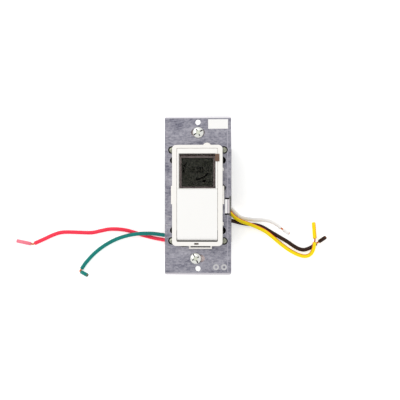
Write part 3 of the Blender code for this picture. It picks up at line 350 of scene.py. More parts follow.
# a lighter copy of the red jacket, painted highlight on the red lead's slug
jacketFinish("jacketRedLit", (240, 112, 134), (252, 150, 164))
jacketFinish("jacketGreen", (0, 108, 102), (0, 142, 132))
jacketFinish("jacketYellow", (255, 216, 0), (255, 234, 0), {"at": 0.8, "width": 0.13, "colour": (232, 52,
             40)})
jacketFinish("jacketBlack", (30, 16, 12), (62, 32, 12))
jacketFinish("jacketWhite", (250, 247, 243), (255, 254, 252))
finish("greyPlastic", (140, 142, 144), (164, 166, 168), (0.5, 0.65), relief=(2200, even, 0.25, 4e-05))
finish("boardGreen", (18, 84, 44), (34, 112, 60), (0.3, 0.45), cloud=(350, 1800, 0.5, 2.4), relief=(1500, (1,
       0.2, 1), 0.3, 3e-05))
finish("componentBlack", (22, 22, 24), (40, 40, 42), (0.45, 0.6), relief=(3000, even, 0.4, 3e-05))
finish("relayBlue", (24, 62, 130), (36, 80, 156), (0.35, 0.5))
finish("tapeYellow", (206, 168, 48), (228, 192, 74), (0.45, 0.6), relief=(900, (0.1, 0.1, 1), 0.4, 8e-05))
finish("sleeveBlack", (20, 20, 32), (36, 36, 50), (0.25, 0.35))
finish("fuseGlass", (196, 202, 200), (216, 222, 220), (0.1, 0.2), constants={"Alpha": 0.6})
finish("fishPaper", (118, 74, 44), (146, 96, 62), (0.8, 0.95), relief=(3500, (1, 0.3, 1), 0.5, 4e-05))
finish("springSteel", (170, 172, 176), (204, 206, 210), (0.2, 0.35), 0.95)
finish("contactRubber", (176, 120, 120), (196, 142, 140), (0.75, 0.9))
print("materials made:", len(finishes))


# mesh helpers

def addPiece(name, form, material):
    mesh = bpy.data.meshes.new(name)
    form.to_mesh(mesh)
    form.free()
    mesh.materials.append(finishes[material])
    made = bpy.data.objects.new(name, mesh)
    scene.collection.objects.link(made)
    return made


def slab(name, low, high, material="strapSteel", corner=0.0, segments=10):
    low, high = Vector(low), Vector(high)
    size = high - low
    form = bmesh.new()
    bmesh.ops.create_cube(form, size=1.0)
    bmesh.ops.scale(form, vec=size, verts=form.verts)
    if corner > 0:
        upright = [e for e in form.edges if abs(e.verts[0].co.z - e.verts[1].co.z) > size.z / 2]
        reach = min(corner, min(size.x, size.y) / 2 * 0.999)
        bmesh.ops.bevel(form, geom=upright, offset=reach, segments=segments, profile=0.5, affect="EDGES")
    bmesh.ops.translate(form, vec=(low + high) / 2, verts=form.verts)
    return addPiece(name, form, material)


def pin(name, start, end, radius, material="strapSteel", sides=64):
    start, end = Vector(start), Vector(end)
    along = end - start
    turn = Vector((0, 0, 1)).rotation_difference(along.normalized()).to_matrix().to_4x4()
    form = bmesh.new()
    bmesh.ops.create_cone(form, cap_ends=True, segments=sides, radius1=radius, radius2=radius,
                          depth=along.length, matrix=Matrix.Translation((start + end) / 2) @ turn)
    return addPiece(name, form, material)


def lathe(name, profile, centre, material, sides=64):
    # profile runs from the crown down, as (radius, height) from the centre
    form = bmesh.new()
    points = [form.verts.new((r, 0, z)) for r, z in profile]
    edges = [form.edges.new(pair) for pair in zip(points, points[1:])]
    bmesh.ops.spin(form, geom=points + edges, cent=(0, 0, 0), axis=(0, 0, 1), angle=math.tau,
                   steps=sides, use_duplicate=False)
    bmesh.ops.remove_doubles(form, verts=form.verts, dist=1e-7)
    bmesh.ops.recalc_face_normals(form, faces=form.faces)
    bmesh.ops.translate(form, vec=centre, verts=form.verts)
    return addPiece(name, form, material)


def settle(piece):
    # the modifiers' result becomes the plain mesh
    evaluated = piece.evaluated_get(bpy.context.evaluated_depsgraph_get())
    mesh = bpy.data.meshes.new_from_object(evaluated)
    piece.modifiers.clear()
    old = piece.data
    piece.data = mesh
    bpy.data.meshes.remove(old)
    return piece


def shape(piece, cuts=(), joins=()):
    for tools, how in ((joins, "UNION"), (cuts, "DIFFERENCE")):
        for tool in tools:
            change = piece.modifiers.new(tool.name, "BOOLEAN")
            change.operation = how
            change.solver = "EXACT"
            change.material_mode = "TRANSFER"       # a cut face takes its cutter's material
            change.object = tool
    bpy.context.view_layer.update()
    settle(piece)
    for tool in (*cuts, *joins):
        bpy.data.objects.remove(tool)
    return piece


def clean(piece, flat=0.5):
    form = bmesh.new()
    form.from_mesh(piece.data)
    bmesh.ops.remove_doubles(form, verts=form.verts, dist=2e-6)
    bmesh.ops.dissolve_limit(form, angle_limit=math.radians(flat), verts=form.verts, edges=form.edges)
    bmesh.ops.recalc_face_normals(form, faces=form.faces)
    form.to_mesh(piece.data)
    form.free()
    return piece


def softEdges(piece, width, segments=3, angle=32):
    clean(piece)
    bevel = piece.modifiers.new("edges", "BEVEL")
    bevel.width = width
    bevel.segments = segments
    bevel.limit_method = "ANGLE"
    bevel.angle_limit = math.radians(angle)
    piece.data.shade_smooth()
    piece.data.set_sharp_from_angle(angle=math.radians(35))
    level = piece.modifiers.new("level", "WEIGHTED_NORMAL")      # flat faces stay flat beside their round edges
    level.keep_sharp = True
    bpy.context.view_layer.update()
    return settle(piece)


def smooth(piece, angle=35):
    piece.data.shade_smooth()
    piece.data.set_sharp_from_angle(angle=math.radians(angle))
    return piece


def refined(node, name, material, width, segments=3, joins=(), cuts=()):
    # the node's own shape with its edges rounded
    piece = bpy.data.objects.new(name, frame["nodes"][node].data.copy())
    scene.collection.objects.link(piece)
    piece.data.materials.clear()
    piece.data.materials.append(finishes[material])
    if joins or cuts:
        shape(clean(piece), joins=joins, cuts=cuts)
    softEdges(piece, width, segments)
    return seat(piece, node)


def seat(piece, *nodes):
    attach(piece, bodyOfNode[nodes[0]])
    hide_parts(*nodes)
    return piece


# camera, light and floor

studio = {"target": (1.4 * mm, -3.0 * mm, 33.6 * mm), "distance": 0.9, "tilt": math.radians(4.3),
          "lens": 122.4, "floor": 1.6, "floorGlow": 0.42, "sky": 0.85, "key": 3.5, "keySize": 0.9}


def makeCamera():
    data = bpy.data.cameras.new("studioCamera")
    data.lens = studio["lens"]
    data.sensor_width = 36.0
    data.clip_start = 0.01
    camera = bpy.data.objects.new("studioCamera", data)
    back = Vector((math.sin(studio["tilt"]), 0, math.cos(studio["tilt"])))
    camera.location = Vector(studio["target"]) + back * studio["distance"]
    camera.rotation_euler = (0, studio["tilt"], 0)
    scene.collection.objects.link(camera)
    scene.camera = camera


def makeStudio():
    scene.view_settings.view_transform = "Standard"
    world = bpy.data.worlds.new("studioSky")
    world.use_nodes = True
    world.node_tree.nodes["Background"].inputs["Color"].default_value = (1.0, 1.0, 1.0, 1.0)
    world.node_tree.nodes["Background"].inputs["Strength"].default_value = studio["sky"]
    scene.world = world
    light = bpy.data.lights.new("keyLight", "AREA")
    light.energy = studio["key"]
    light.size = studio["keySize"]
    lamp = bpy.data.objects.new("keyLight", light)
    lamp.location = (-0.5, 0.45, 1.0)
    lamp.rotation_euler = (-lamp.location).to_track_quat("-Z", "Y").to_euler()
    scene.collection.objects.link(lamp)

    paper = bpy.data.materials.new("floorPaper")
    paper.use_nodes = True
    tree = paper.node_tree
    tree.nodes["Principled BSDF"].inputs["Base Color"].default_value = (0.97, 0.97, 0.96, 1.0)
    tree.nodes["Principled BSDF"].inputs["Roughness"].default_value = 0.9
    tree.nodes["Principled BSDF"].inputs["Specular IOR Level"].default_value = 0.1
    tree.nodes["Principled BSDF"].inputs["Emission Color"].default_value = (1.0, 1.0, 1.0, 1.0)
    tree.nodes["Principled BSDF"].inputs["Emission Strength"].default_value = studio["floorGlow"]
    clear = addNode(tree, "ShaderNodeBsdfTransparent")
    facing = addNode(tree, "ShaderNodeNewGeometry")
    mix = addNode(tree, "ShaderNodeMixShader")
    connect(tree, (facing, "Backfacing", mix, 0))
    tree.links.new(tree.nodes["Principled BSDF"].outputs[0], mix.inputs[1])
    connect(tree, (clear, 0, mix, 2))
    tree.links.new(mix.outputs[0], tree.nodes["Material Output"].inputs["Surface"])
    form = bmesh.new()
    bmesh.ops.create_grid(form, x_segments=1, y_segments=1, size=studio["floor"])
    mesh = bpy.data.meshes.new("floor")
    form.to_mesh(mesh)
    form.free()
    mesh.materials.append(paper)
    floor = bpy.data.objects.new("floor", mesh)
    scene.collection.objects.link(floor)


makeCamera()
makeStudio()
print("camera, light and floor made")


# geometry node trees

def newTree(name, inputs):
    tree = bpy.data.node_groups.new(name, "GeometryNodeTree")
    tree.interface.new_socket(name="Geometry", in_out="INPUT", socket_type="NodeSocketGeometry")
    for label, kind, value in inputs:
        socket = tree.interface.new_socket(name=label, in_out="INPUT", socket_type="NodeSocket" + kind)
        if value is not None:
            socket.default_value = value
    tree.interface.new_socket(name="Geometry", in_out="OUTPUT", socket_type="NodeSocketGeometry")
    return tree, tree.nodes.new("NodeGroupInput"), tree.nodes.new("NodeGroupOutput")


def mathNode(tree, how, first, second=None):
    node = calc(tree, how)
    for socket, value in zip(node.inputs, (first, second)):
        if value is None:
            continue
        if isinstance(value, (int, float)):
            socket.default_value = value
        else:
            tree.links.new(value, socket)
    return node.outputs[0]


def endTree(tree, given, out, geometry):
    real = addNode(tree, "GeometryNodeRealizeInstances")
    dress = addNode(tree, "GeometryNodeSetMaterial")
    tree.links.new(geometry, real.inputs["Geometry"])
    connect(tree, (real, "Geometry", dress, "Geometry"), (given, "Material", dress, "Material"),
            (dress, "Geometry", out, "Geometry"))
    return tree


def makeStudTree():
    # one copy of a pattern piece on each point, each turned by its own random amount
    tree, given, out = newTree("studs", [
        ("Pattern", "Object", None), ("Turn", "Float", 0.0),
        ("Seed", "Int", 7), ("Material", "Material", None)])
    source = addNode(tree, "GeometryNodeObjectInfo")
    turn = addNode(tree, "FunctionNodeRandomValue", {"data_type": "FLOAT"})
    angles = addNode(tree, "ShaderNodeCombineXYZ")
    spread = addNode(tree, "GeometryNodeInstanceOnPoints")
    connect(tree, (given, "Pattern", source, "Object"), (given, "Turn", turn, 3),
            (given, "Seed", turn, "Seed"), (turn, 1, angles, "Z"), (given, "Geometry", spread, "Points"),
            (source, "Geometry", spread, "Instance"), (angles, 0, spread, "Rotation"))
    return endTree(tree, given, out, spread.outputs["Instances"])


def makeDialTree():
    # dashes round an ellipse, from one step of it to another
    tree, given, out = newTree("dial", [
        ("Steps", "Int", 48), ("First", "Int", 0), ("Last", "Int", 47),
        ("Half Width", "Float", 0.0085), ("Half Height", "Float", 0.0065),
        ("Dash", "Vector", (0.0008, 0.0006, 0.00002)), ("Material", "Material", None)])
    ring = addNode(tree, "GeometryNodeMeshCircle", values={"Radius": 1.0})
    index = addNode(tree, "GeometryNodeInputIndex")
    place = addNode(tree, "GeometryNodeSetPosition")
    connect(tree, (given, "Steps", ring, "Vertices"))
    share = mathNode(tree, "DIVIDE", index.outputs[0], given.outputs["Steps"])
    angle = mathNode(tree, "MULTIPLY", share, math.tau)
    cosine, sine = mathNode(tree, "COSINE", angle), mathNode(tree, "SINE", angle)
    across = mathNode(tree, "MULTIPLY", cosine, given.outputs["Half Width"])
    up = mathNode(tree, "MULTIPLY", sine, given.outputs["Half Height"])
    point = addNode(tree, "ShaderNodeCombineXYZ")
    tree.links.new(across, point.inputs[0])
    tree.links.new(up, point.inputs[1])
    connect(tree, (ring, "Mesh", place, "Geometry"), (point, 0, place, "Position"))
    # each dash lies along the ellipse's own direction at its point
    slopeX = mathNode(tree, "MULTIPLY", mathNode(tree, "MULTIPLY", sine, -1.0), given.outputs["Half Width"])
    slopeY = mathNode(tree, "MULTIPLY", cosine, given.outputs["Half Height"])
    lean = mathNode(tree, "ARCTAN2", slopeY, slopeX)
    angles = addNode(tree, "ShaderNodeCombineXYZ")
    tree.links.new(lean, angles.inputs[2])
    dash = addNode(tree, "GeometryNodeMeshCube")
    connect(tree, (given, "Dash", dash, "Size"))
    after = addNode(tree, "FunctionNodeCompare", {"data_type": "INT", "operation": "GREATER_EQUAL"})
    before = addNode(tree, "FunctionNodeCompare", {"data_type": "INT", "operation": "LESS_EQUAL"})
    both = addNode(tree, "FunctionNodeBooleanMath", {"operation": "AND"})
    for test, limit in ((after, "First"), (before, "Last")):
        connect(tree, (index, 0, test, 2), (given, limit, test, 3))
    connect(tree, (after, 0, both, 0), (before, 0, both, 1))
    spread = addNode(tree, "GeometryNodeInstanceOnPoints")
    connect(tree, (place, "Geometry", spread, "Points"), (both, 0, spread, "Selection"),
            (dash, "Mesh", spread, "Instance"), (angles, 0, spread, "Rotation"))
    return endTree(tree, given, out, spread.outputs["Instances"])


def makeStrandTree():
    # a bundle of fine wires laid side by side and twisted along a path
    tree, given, out = newTree("strands", [
        ("Count", "Int", 7), ("Bundle Radius", "Float", 0.00042),
        ("Strand Radius", "Float", 0.0002), ("Twist", "Float", 900.0),
        ("Material", "Material", None)])
    line = addNode(tree, "GeometryNodeMeshToCurve")
    even = addNode(tree, "GeometryNodeResampleCurve", values={"Count": 28})
    copies = addNode(tree, "GeometryNodeDuplicateElements", {"domain": "SPLINE"})
    along = addNode(tree, "GeometryNodeSplineParameter")
    normal, tangent = addNode(tree, "GeometryNodeInputNormal"), addNode(tree, "GeometryNodeInputTangent")
    side = calcVector(tree, "CROSS_PRODUCT")
    connect(tree, (given, "Geometry", line, "Mesh"), (line, "Curve", even, "Curve"),
            (even, "Curve", copies, "Geometry"), (given, "Count", copies, "Amount"), (tangent, 0, side, 0),
            (normal, 0, side, 1))
    share = mathNode(tree, "DIVIDE", copies.outputs["Duplicate Index"], given.outputs["Count"])
    turn = mathNode(tree, "MULTIPLY", share, math.tau)
    lay = mathNode(tree, "MULTIPLY", along.outputs["Length"], given.outputs["Twist"])
    angle = mathNode(tree, "ADD", turn, lay)
    offsets = []
    for how, direction in (("COSINE", normal.outputs[0]), ("SINE", side.outputs[0])):
        reach = mathNode(tree, "MULTIPLY", mathNode(tree, how, angle), given.outputs["Bundle Radius"])
        scaled = calcVector(tree, "SCALE")
        tree.links.new(direction, scaled.inputs[0])
        tree.links.new(reach, scaled.inputs["Scale"])
        offsets.append(scaled.outputs[0])
    total = calcVector(tree, "ADD")
    tree.links.new(offsets[0], total.inputs[0])
    tree.links.new(offsets[1], total.inputs[1])
    move = addNode(tree, "GeometryNodeSetPosition")
    connect(tree, (copies, "Geometry", move, "Geometry"), (total, 0, move, "Offset"))
    profile = addNode(tree, "GeometryNodeCurvePrimitiveCircle", values={"Resolution": 8})
    wire = addNode(tree, "GeometryNodeCurveToMesh", values={"Fill Caps": True})
    connect(tree, (given, "Strand Radius", profile, "Radius"), (move, "Geometry", wire, "Curve"),
            (profile, "Curve", wire, "Profile Curve"))
    return endTree(tree, given, out, wire.outputs["Mesh"])


studTree, dialTree, strandTree = makeStudTree(), makeDialTree(), makeStrandTree()
print("geometry node trees made")


def grow(name, points, edges, tree, values, centre=(0, 0, 0)):
    # run a tree on a few points or a path, and keep the result as a plain mesh at the origin
    mesh = bpy.data.meshes.new(name)
    mesh.from_pydata([tuple(p) for p in points], edges, [])
    piece = bpy.data.objects.new(name, mesh)
    scene.collection.objects.link(piece)
    change = piece.modifiers.new("grow", "NODES")
    change.node_group = tree
    for item in tree.interface.items_tree:
        if item.in_out == "INPUT" and item.name in values:
            change[item.identifier] = values[item.name]
    bpy.context.view_layer.update()
    settle(piece)
    piece.data.transform(Matrix.Translation(centre))
    return piece


# leads

leadSettings = {
    "diameter": 2.6 * mm, "gap": 0.3 * mm, "bareGap": 1.3 * mm, "bore": 0.72 * mm, "sides": 20,
    "strands": 7, "strandRadius": 0.2 * mm, "bundleRadius": 0.4 * mm,
    "coarse": 2.4 * 2.6 * mm, "fine": 1.0 * mm, "rim": 0.15 * mm,
}
leads = {
    "red": {
        "route": [(-19.2, -30.9, 6.0), (-22.4, -30.7, 5.6), (-26.4, -30.1, 4.4), (-31.9, -29.2, 2.4),
                  (-40.0, -27.3, 1.4), (-51.9, -23.8, 1.35), (-62.2, -23.0, 1.35), (-69.4, -24.2, 1.35),
                  (-75.8, -25.5, 1.35), (-83.8, -25.4, 1.35), (-95.0, -25.2, 1.35), (-101.4, -26.6, 1.35),
                  (-109.5, -30.2, 1.35), (-115.8, -33.0, 1.35)],
        "slug": 10.2 * mm, "heading": (-0.98, 0.2, 0.0), "jacket": "jacketRed", "slugFinish": "jacketRedLit"},
    "green": {
        "route": [(-19.2, -27.3, 6.6), (-22.4, -27.2, 6.4), (-26.4, -26.8, 5.8), (-31.0, -26.2, 5.2),
                  (-35.6, -25.9, 4.8), (-43.5, -26.2, 4.7), (-51.5, -27.6, 3.8), (-59.7, -30.4, 2.1),
                  (-67.8, -34.9, 1.35), (-74.2, -40.0, 1.35), (-79.8, -46.0, 1.35), (-83.0, -50.6, 1.5)],
        "slug": 6.0 * mm, "heading": (0.8, -0.35, 0.5), "jacket": "jacketGreen", "slugFinish": "jacketGreen"},
    "yellow": {
        "route": [(19.2, -10.8, 7.3), (21.2, -12.9, 7.0), (23.6, -15.2, 6.4), (27.5, -17.4, 5.4),
                  (33.5, -19.6, 4.7), (40.0, -22.3, 4.7), (44.8, -25.0, 4.3), (49.7, -29.0, 2.8),
                  (54.6, -33.2, 1.5), (59.5, -36.8, 1.35), (63.7, -39.2, 1.35), (67.6, -40.8, 1.35),
                  (71.4, -41.3, 1.6), (74.8, -39.6, 2.8), (76.6, -35.7, 4.5), (77.2, -31.6, 4.7)],
        "slug": 11.2 * mm, "heading": (-0.07, 0.97, -0.22), "jacket": "jacketYellow",
        "slugFinish": "jacketYellow"},
    "black": {
        "route": [(19.2, -16.6, 5.2), (22.0, -17.4, 4.4), (27.3, -18.8, 2.0), (33.3, -19.7, 1.35),
                  (37.7, -20.2, 1.35), (42.0, -21.6, 1.35), (47.5, -24.8, 1.35), (52.9, -28.0, 1.35),
                  (58.4, -31.2, 1.35), (63.7, -34.8, 1.35), (67.0, -36.4, 1.35), (70.3, -36.9, 1.35),
                  (74.6, -35.4, 1.35), (78.4, -32.6, 1.5)],
        "slug": 6.0 * mm, "heading": (0.72, 0.5, 0.45), "jacket": "jacketBlack", "slugFinish": "jacketBlack"},
    "white": {
        "route": [(19.2, -7.6, 3.6), (21.4, -9.6, 3.4), (24.2, -12.6, 2.6), (28.4, -15.3, 1.6),
                  (36.6, -16.4, 1.35), (43.1, -16.6, 1.35), (47.5, -17.6, 1.35), (51.8, -19.8, 1.35),
                  (54.3, -22.1, 1.5)],
        "slug": 5.0 * mm, "heading": (0.78, -0.48, 0.4), "jacket": "jacketWhite", "slugFinish": "jacketWhite"},
}


def smoothRoute(points, spacing):
    # evenly spaced points on a smooth curve through the route's own points
    ends = [points[0] * 2 - points[1], *points, points[-1] * 2 - points[-2]]
    fine = []
    for a, b, c, d in zip(ends, ends[1:], ends[2:], ends[3:]):
        for i in range(16):
            t = i / 16
            fine.append(0.5 * (2 * b + (c - a) * t + (2 * a - 5 * b + 4 * c - d) * t ** 2
                               + (3 * b - a - 3 * c + d) * t ** 3))
    fine.append(points[-1])
    travel = [0.0]
    for a, b in zip(fine, fine[1:]):
        travel.append(travel[-1] + (b - a).length)
    count = max(2, round(travel[-1] / spacing))
    even, at = [], 0
    for i in range(count + 1):
        want = travel[-1] * i / count
        while at < len(fine) - 2 and travel[at + 1] < want:
            at += 1
        share = (want - travel[at]) / (travel[at + 1] - travel[at])
        even.append(fine[at].lerp(fine[at + 1], share))
    return even


def pathLength(points):
    return sum((b - a).length for a, b in zip(points, points[1:]))


def sweep(name, stations, material, sides, closed=False):
    # stations are (point, direction, radius, distance); closed joins the last ring to the first
    form = bmesh.new()
    uv = form.loops.layers.uv.new("along")
    rings = []
    for point, direction, radius, travel in stations:
        across = (Vector((0, 0, 1)) - direction * direction.z).normalized()
        side = direction.cross(across)
        turns = [math.tau * i / sides for i in range(sides)]
        rings.append([form.verts.new(point + (across * math.cos(t) + side * math.sin(t)) * radius)
                      for t in turns])
    for corner in form.verts:
        corner.co.z = max(corner.co.z, 0.0)  # the lowest lead rests on the back plane
    order = list(zip(range(len(rings)), range(1, len(rings))))
    if closed:
        order.append((len(rings) - 1, 0))
    for a, b in order:
        for i in range(sides):
            j = (i + 1) % sides
            face = form.faces.new((rings[a][i], rings[a][j], rings[b][j], rings[b][i]))
            shares = (i / sides, (i + 1) / sides, (i + 1) / sides, i / sides)
            travels = (stations[a][3], stations[a][3], stations[b][3], stations[b][3])
            for loop, u, v in zip(face.loops, shares, travels):
                loop[uv].uv = (u, v / leadSettings["diameter"])
    if not closed:
        form.faces.new(rings[0])
        form.faces.new(rings[-1])
    bmesh.ops.recalc_face_normals(form, faces=form.faces)
    return smooth(addPiece(name, form, material), 50)


def directions(points):
    ends = [points[0], *points, points[-1]]
    return [(c - a).normalized() for a, c in zip(ends, ends[2:])]


def makeLead(name, lead):
    radius, gap, bore = leadSettings["diameter"] / 2, leadSettings["gap"], leadSettings["bore"]
    route = [Vector(p) * mm for p in lead["route"]]
    coarse = smoothRoute(route, leadSettings["coarse"])
    points = smoothRoute(route, leadSettings["fine"])
    along = (coarse[-1] - coarse[-2]).normalized()
    travel, stations = 0.0, []
    for before, point, direction in zip([points[0], *points], points, directions(points)):
        travel += (point - before).length
        stations.append((point, direction, radius, travel))
    end, way = points[-1], stations[-1][1]
    rim = leadSettings["rim"]       # the cut end is a little rounded, and hollow
    stations[-1] = (end - way * rim, way, radius, travel)
    for back, size in ((0.0, radius - rim), (0.0, bore + rim / 2), (rim / 2, bore), (1.6 * mm, bore)):
        stations.append((end - way * back, way, size, travel))
    jacket = sweep(f"lead_{name}_jacket", stations, lead["jacket"], leadSettings["sides"])

    heading = Vector(lead["heading"]).normalized()
    elbow = coarse[-1] + along * (2 * gap + radius * along.cross(heading).length)
    near = elbow + heading * leadSettings["bareGap"]
    far = near + heading * lead["slug"]
    ring = [(near, bore), (near, radius - rim), (near + heading * rim, radius), (far - heading * rim, radius),
            (far, radius - rim), (far, bore + rim / 2), (far - heading * rim, bore),
            (near + heading * rim, bore)]
    slug = sweep(f"lead_{name}_slug", [(p, -heading, r, (p - near).length) for p, r in ring],
                 lead["slugFinish"], leadSettings["sides"], closed=True)

    wirePath = smoothRoute([end - way * 1.4 * mm, end + along * gap, elbow, near, (near + far) / 2,
                            far - heading * 0.25 * mm], 0.4 * mm)
    wires = grow(f"lead_{name}_strands", wirePath, [(i, i + 1) for i in range(len(wirePath) - 1)], strandTree,
                 {"Count": leadSettings["strands"], "Bundle Radius": leadSettings["bundleRadius"],
                  "Strand Radius": leadSettings["strandRadius"], "Material": finishes["copperStrand"]})
    smooth(wires, 50)
    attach(jacket, "root")
    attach(slug, "root")
    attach(wires, "root")
    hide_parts(f"lead_{name}")
    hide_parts(f"lead_{name}_tip")
    print("lead", name, "length", round(pathLength(points), 4))


for leadName, leadShape in leads.items():
    makeLead(leadName, leadShape)


# mounting strap

strapSettings = {
    "thickness": 1.6 * mm, "corner": 1.2 * mm, "plateSpacing": 96.84 * mm, "plateHole": 3.5 * mm,
    "boxSpacing": 83.34 * mm, "slot": (9.0 * mm, 4.9 * mm), "hole": 4.8 * mm, "holeX": 16.2 * mm,
    "rightHoles": (23.3 * mm, 5.0 * mm, -23.1 * mm), "leftHoles": (23.3 * mm, -23.1 * mm),
    "rivet": (17.3 * mm, 30.1 * mm), "rivetHole": 5.0 * mm, "windowX": 15.2 * mm,
    "windowY": (-32.6 * mm, 32.2 * mm), "notchY": (-13.5 * mm, -0.4 * mm), "notchDepth": 1.35 * mm,
    "tongueY": (-11.8 * mm, -2.5 * mm), "tongueRoot": 4.2 * mm, "tongueThick": 1.15 * mm,
    "tongueBend": 2.5 * mm, "relief": 1.0 * mm, "footY": -33.25 * mm, "edge": 0.16 * mm,
    "scoreDepth": 0.12 * mm,
    "slots": {"foot": (-4.6 * mm, 8.5 * mm), "short": (-11.2 * mm, -7.4 * mm)},
    "slotReach": (0.78 * mm, 0.05 * mm),
    "rings": (12.0 * mm, 17.3 * mm), "ringY": -47.4 * mm, "ringRadii": (2.0 * mm, 0.9 * mm),
    "scores": (-13.8 * mm, -19.5 * mm), "scoreX": (-21.6 * mm, -17.9 * mm), "scoreHalf": 0.16 * mm,
}


def makeTongue(top):
    # a flat strip that turns down over the bend and runs down beside the housing
    s = strapSettings
    outerX = strapHi.x - s["notchDepth"] - 0.05 * mm
    bend, thick = s["tongueBend"], s["tongueThick"]
    centre = Vector((outerX - bend, 0, top - bend))
    steps = 10
    arc = [math.pi / 2 * i / steps for i in range(steps + 1)]
    outer = [Vector((strapHi.x - s["tongueRoot"] - 0.4 * mm, 0, top))]
    outer += [centre + Vector((math.sin(a), 0, math.cos(a))) * bend for a in arc]
    outer.append(Vector((outerX, 0, strapLo.z + 0.05 * mm)))
    inner = [outer[0] - Vector((0, 0, thick))]
    inner += [centre + Vector((math.sin(a), 0, math.cos(a))) * (bend - thick) for a in arc]
    inner.append(Vector((outerX - thick, 0, strapLo.z + 0.05 * mm)))
    form = bmesh.new()
    loops = []
    for y in s["tongueY"]:
        loops.append([form.verts.new(p + Vector((0, y, 0))) for p in outer + inner[::-1]])
    count = len(loops[0])
    for i in range(count):
        j = (i + 1) % count
        form.faces.new((loops[0][i], loops[0][j], loops[1][j], loops[1][i]))
    half = len(outer)
    for loop in loops:
        for i in range(half - 1):
            form.faces.new((loop[i], loop[i + 1], loop[count - 2 - i], loop[count - 1 - i]))
    bmesh.ops.recalc_face_normals(form, faces=form.faces)
    return addPiece("strap_tongue", form, "tongueSteel")


def makeStrap():
    s = strapSettings
    top, bottom = strapHi.z, strapHi.z - s["thickness"]
    low, high = bottom - 1 * mm, top + 1 * mm
    edgeX, endY = strapHi.x, strapHi.y
    strap = slab("strap_plate", (-edgeX, -endY, bottom), (edgeX, endY, top), "strapSteel", s["corner"])
    cuts = [slab("window", (-s["windowX"], s["windowY"][0], low), (s["windowX"], s["windowY"][1], high),
                 corner=1.0 * mm)]
    slotLength, slotWidth = s["slot"]
    for end in (-1, 1):
        plateY, boxY = end * s["plateSpacing"] / 2, end * s["boxSpacing"] / 2
        cuts.append(pin(f"plateHole{end}", (0, plateY, low), (0, plateY, high), s["plateHole"] / 2))
        cuts.append(slab(f"boxSlot{end}", (-slotLength / 2, boxY - slotWidth / 2, low),
                         (slotLength / 2, boxY + slotWidth / 2, high), corner=slotWidth / 2, segments=16))
        for side in (-1, 1):
            x, y = side * s["rivet"][0], end * s["rivet"][1]
            cuts.append(pin(f"rivetHole{side}{end}", (x, y, low), (x, y, high), s["rivetHole"] / 2))
    for side, places in ((1, s["rightHoles"]), (-1, s["leftHoles"])):
        for y in places:
            x = side * s["holeX"]
            cuts.append(pin(f"hole{side}{y:.4f}", (x, y, low), (x, y, high), s["hole"] / 2))
    notchX = edgeX - s["notchDepth"]
    cuts.append(slab("notch", (notchX, s["notchY"][0], low), (edgeX + 1 * mm, s["notchY"][1], high)))
    cuts.append(slab("tongueRoom", (edgeX - s["tongueRoot"], s["tongueY"][0] - s["relief"], low),
                     (notchX + 0.2 * mm, s["tongueY"][1] + s["relief"], high)))
    # the slots' cut walls take painted shade
    for label, (left, right) in s["slots"].items():
        cuts.append(slab(f"{label}Slot", (left, s["footY"] - s["slotReach"][0], low),
                         (right, s["footY"] - s["slotReach"][1], high), "driveShade"))
    # stamped rings near the lower end, and the score lines left by the press tool; their cut faces are painted
    # lighter as highlight
    depth, ringY = top - s["scoreDepth"], s["ringY"]
    outerRadius, innerRadius = s["ringRadii"]
    for x in s["rings"]:
        outer = pin(f"ring{x:.4f}", (x, ringY, depth), (x, ringY, high), outerRadius, "grooveHighlight")
        core = pin("core", (x, ringY, low), (x, ringY, high + 1 * mm), innerRadius, "grooveHighlight")
        cuts.append(shape(outer, cuts=[core]))
    for y in s["scores"]:
        cuts.append(slab(f"scoreLeft{y:.4f}", (s["scoreX"][0], y - s["scoreHalf"], depth),
                         (s["scoreX"][1], y + s["scoreHalf"], high), "grooveHighlight"))
    shape(strap, cuts=cuts)
    softEdges(strap, s["edge"], 2)
    tongue = smooth(makeTongue(top - 0.1 * mm))
    seat(strap, "yoke_strap")
    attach(tongue, "root")


makeStrap()
print("strap made")


# mounting screws, retainers and rivets

screwSettings = {
    "head": 3.65 * mm, "crown": 1.2 * mm, "height": 1.7 * mm, "shank": 1.75 * mm, "root": 1.38 * mm,
    "pitch": 0.794 * mm, "slotHalf": 0.4 * mm, "slotDepth": 0.7 * mm, "centre": 1.45 * mm,
    "centreDepth": 0.8 * mm, "cross": 2.5 * mm,
    "turn": {"top": 28.0, "bottom": -62.0},
}


def makeThread(name, x, y, top, bottom):
    # one closed ridge that climbs a pitch each turn, its foot sunk in the shank
    s = screwSettings
    perTurn = 24
    turns = int((top - bottom) / s["pitch"])
    ridge = [(s["root"] - 0.1 * mm, 0.0), (s["shank"], 0.4), (s["shank"], 0.55), (s["root"] - 0.1 * mm, 0.95)]
    form = bmesh.new()
    rows = []
    for i in range(turns * perTurn + 1):
        turn = math.tau * i / perTurn
        rise = bottom + s["pitch"] * i / perTurn
        rows.append([form.verts.new((x + math.cos(turn) * r, y + math.sin(turn) * r, rise + share * s["pitch"]))
                     for r, share in ridge])
    for a, b in zip(rows, rows[1:]):
        for k in range(len(ridge)):
            m = (k + 1) % len(ridge)
            form.faces.new((a[k], b[k], b[m], a[m]))
    form.faces.new(rows[0])
    form.faces.new(rows[-1])
    bmesh.ops.recalc_face_normals(form, faces=form.faces)
    return addPiece(name, form, "screwSteel")


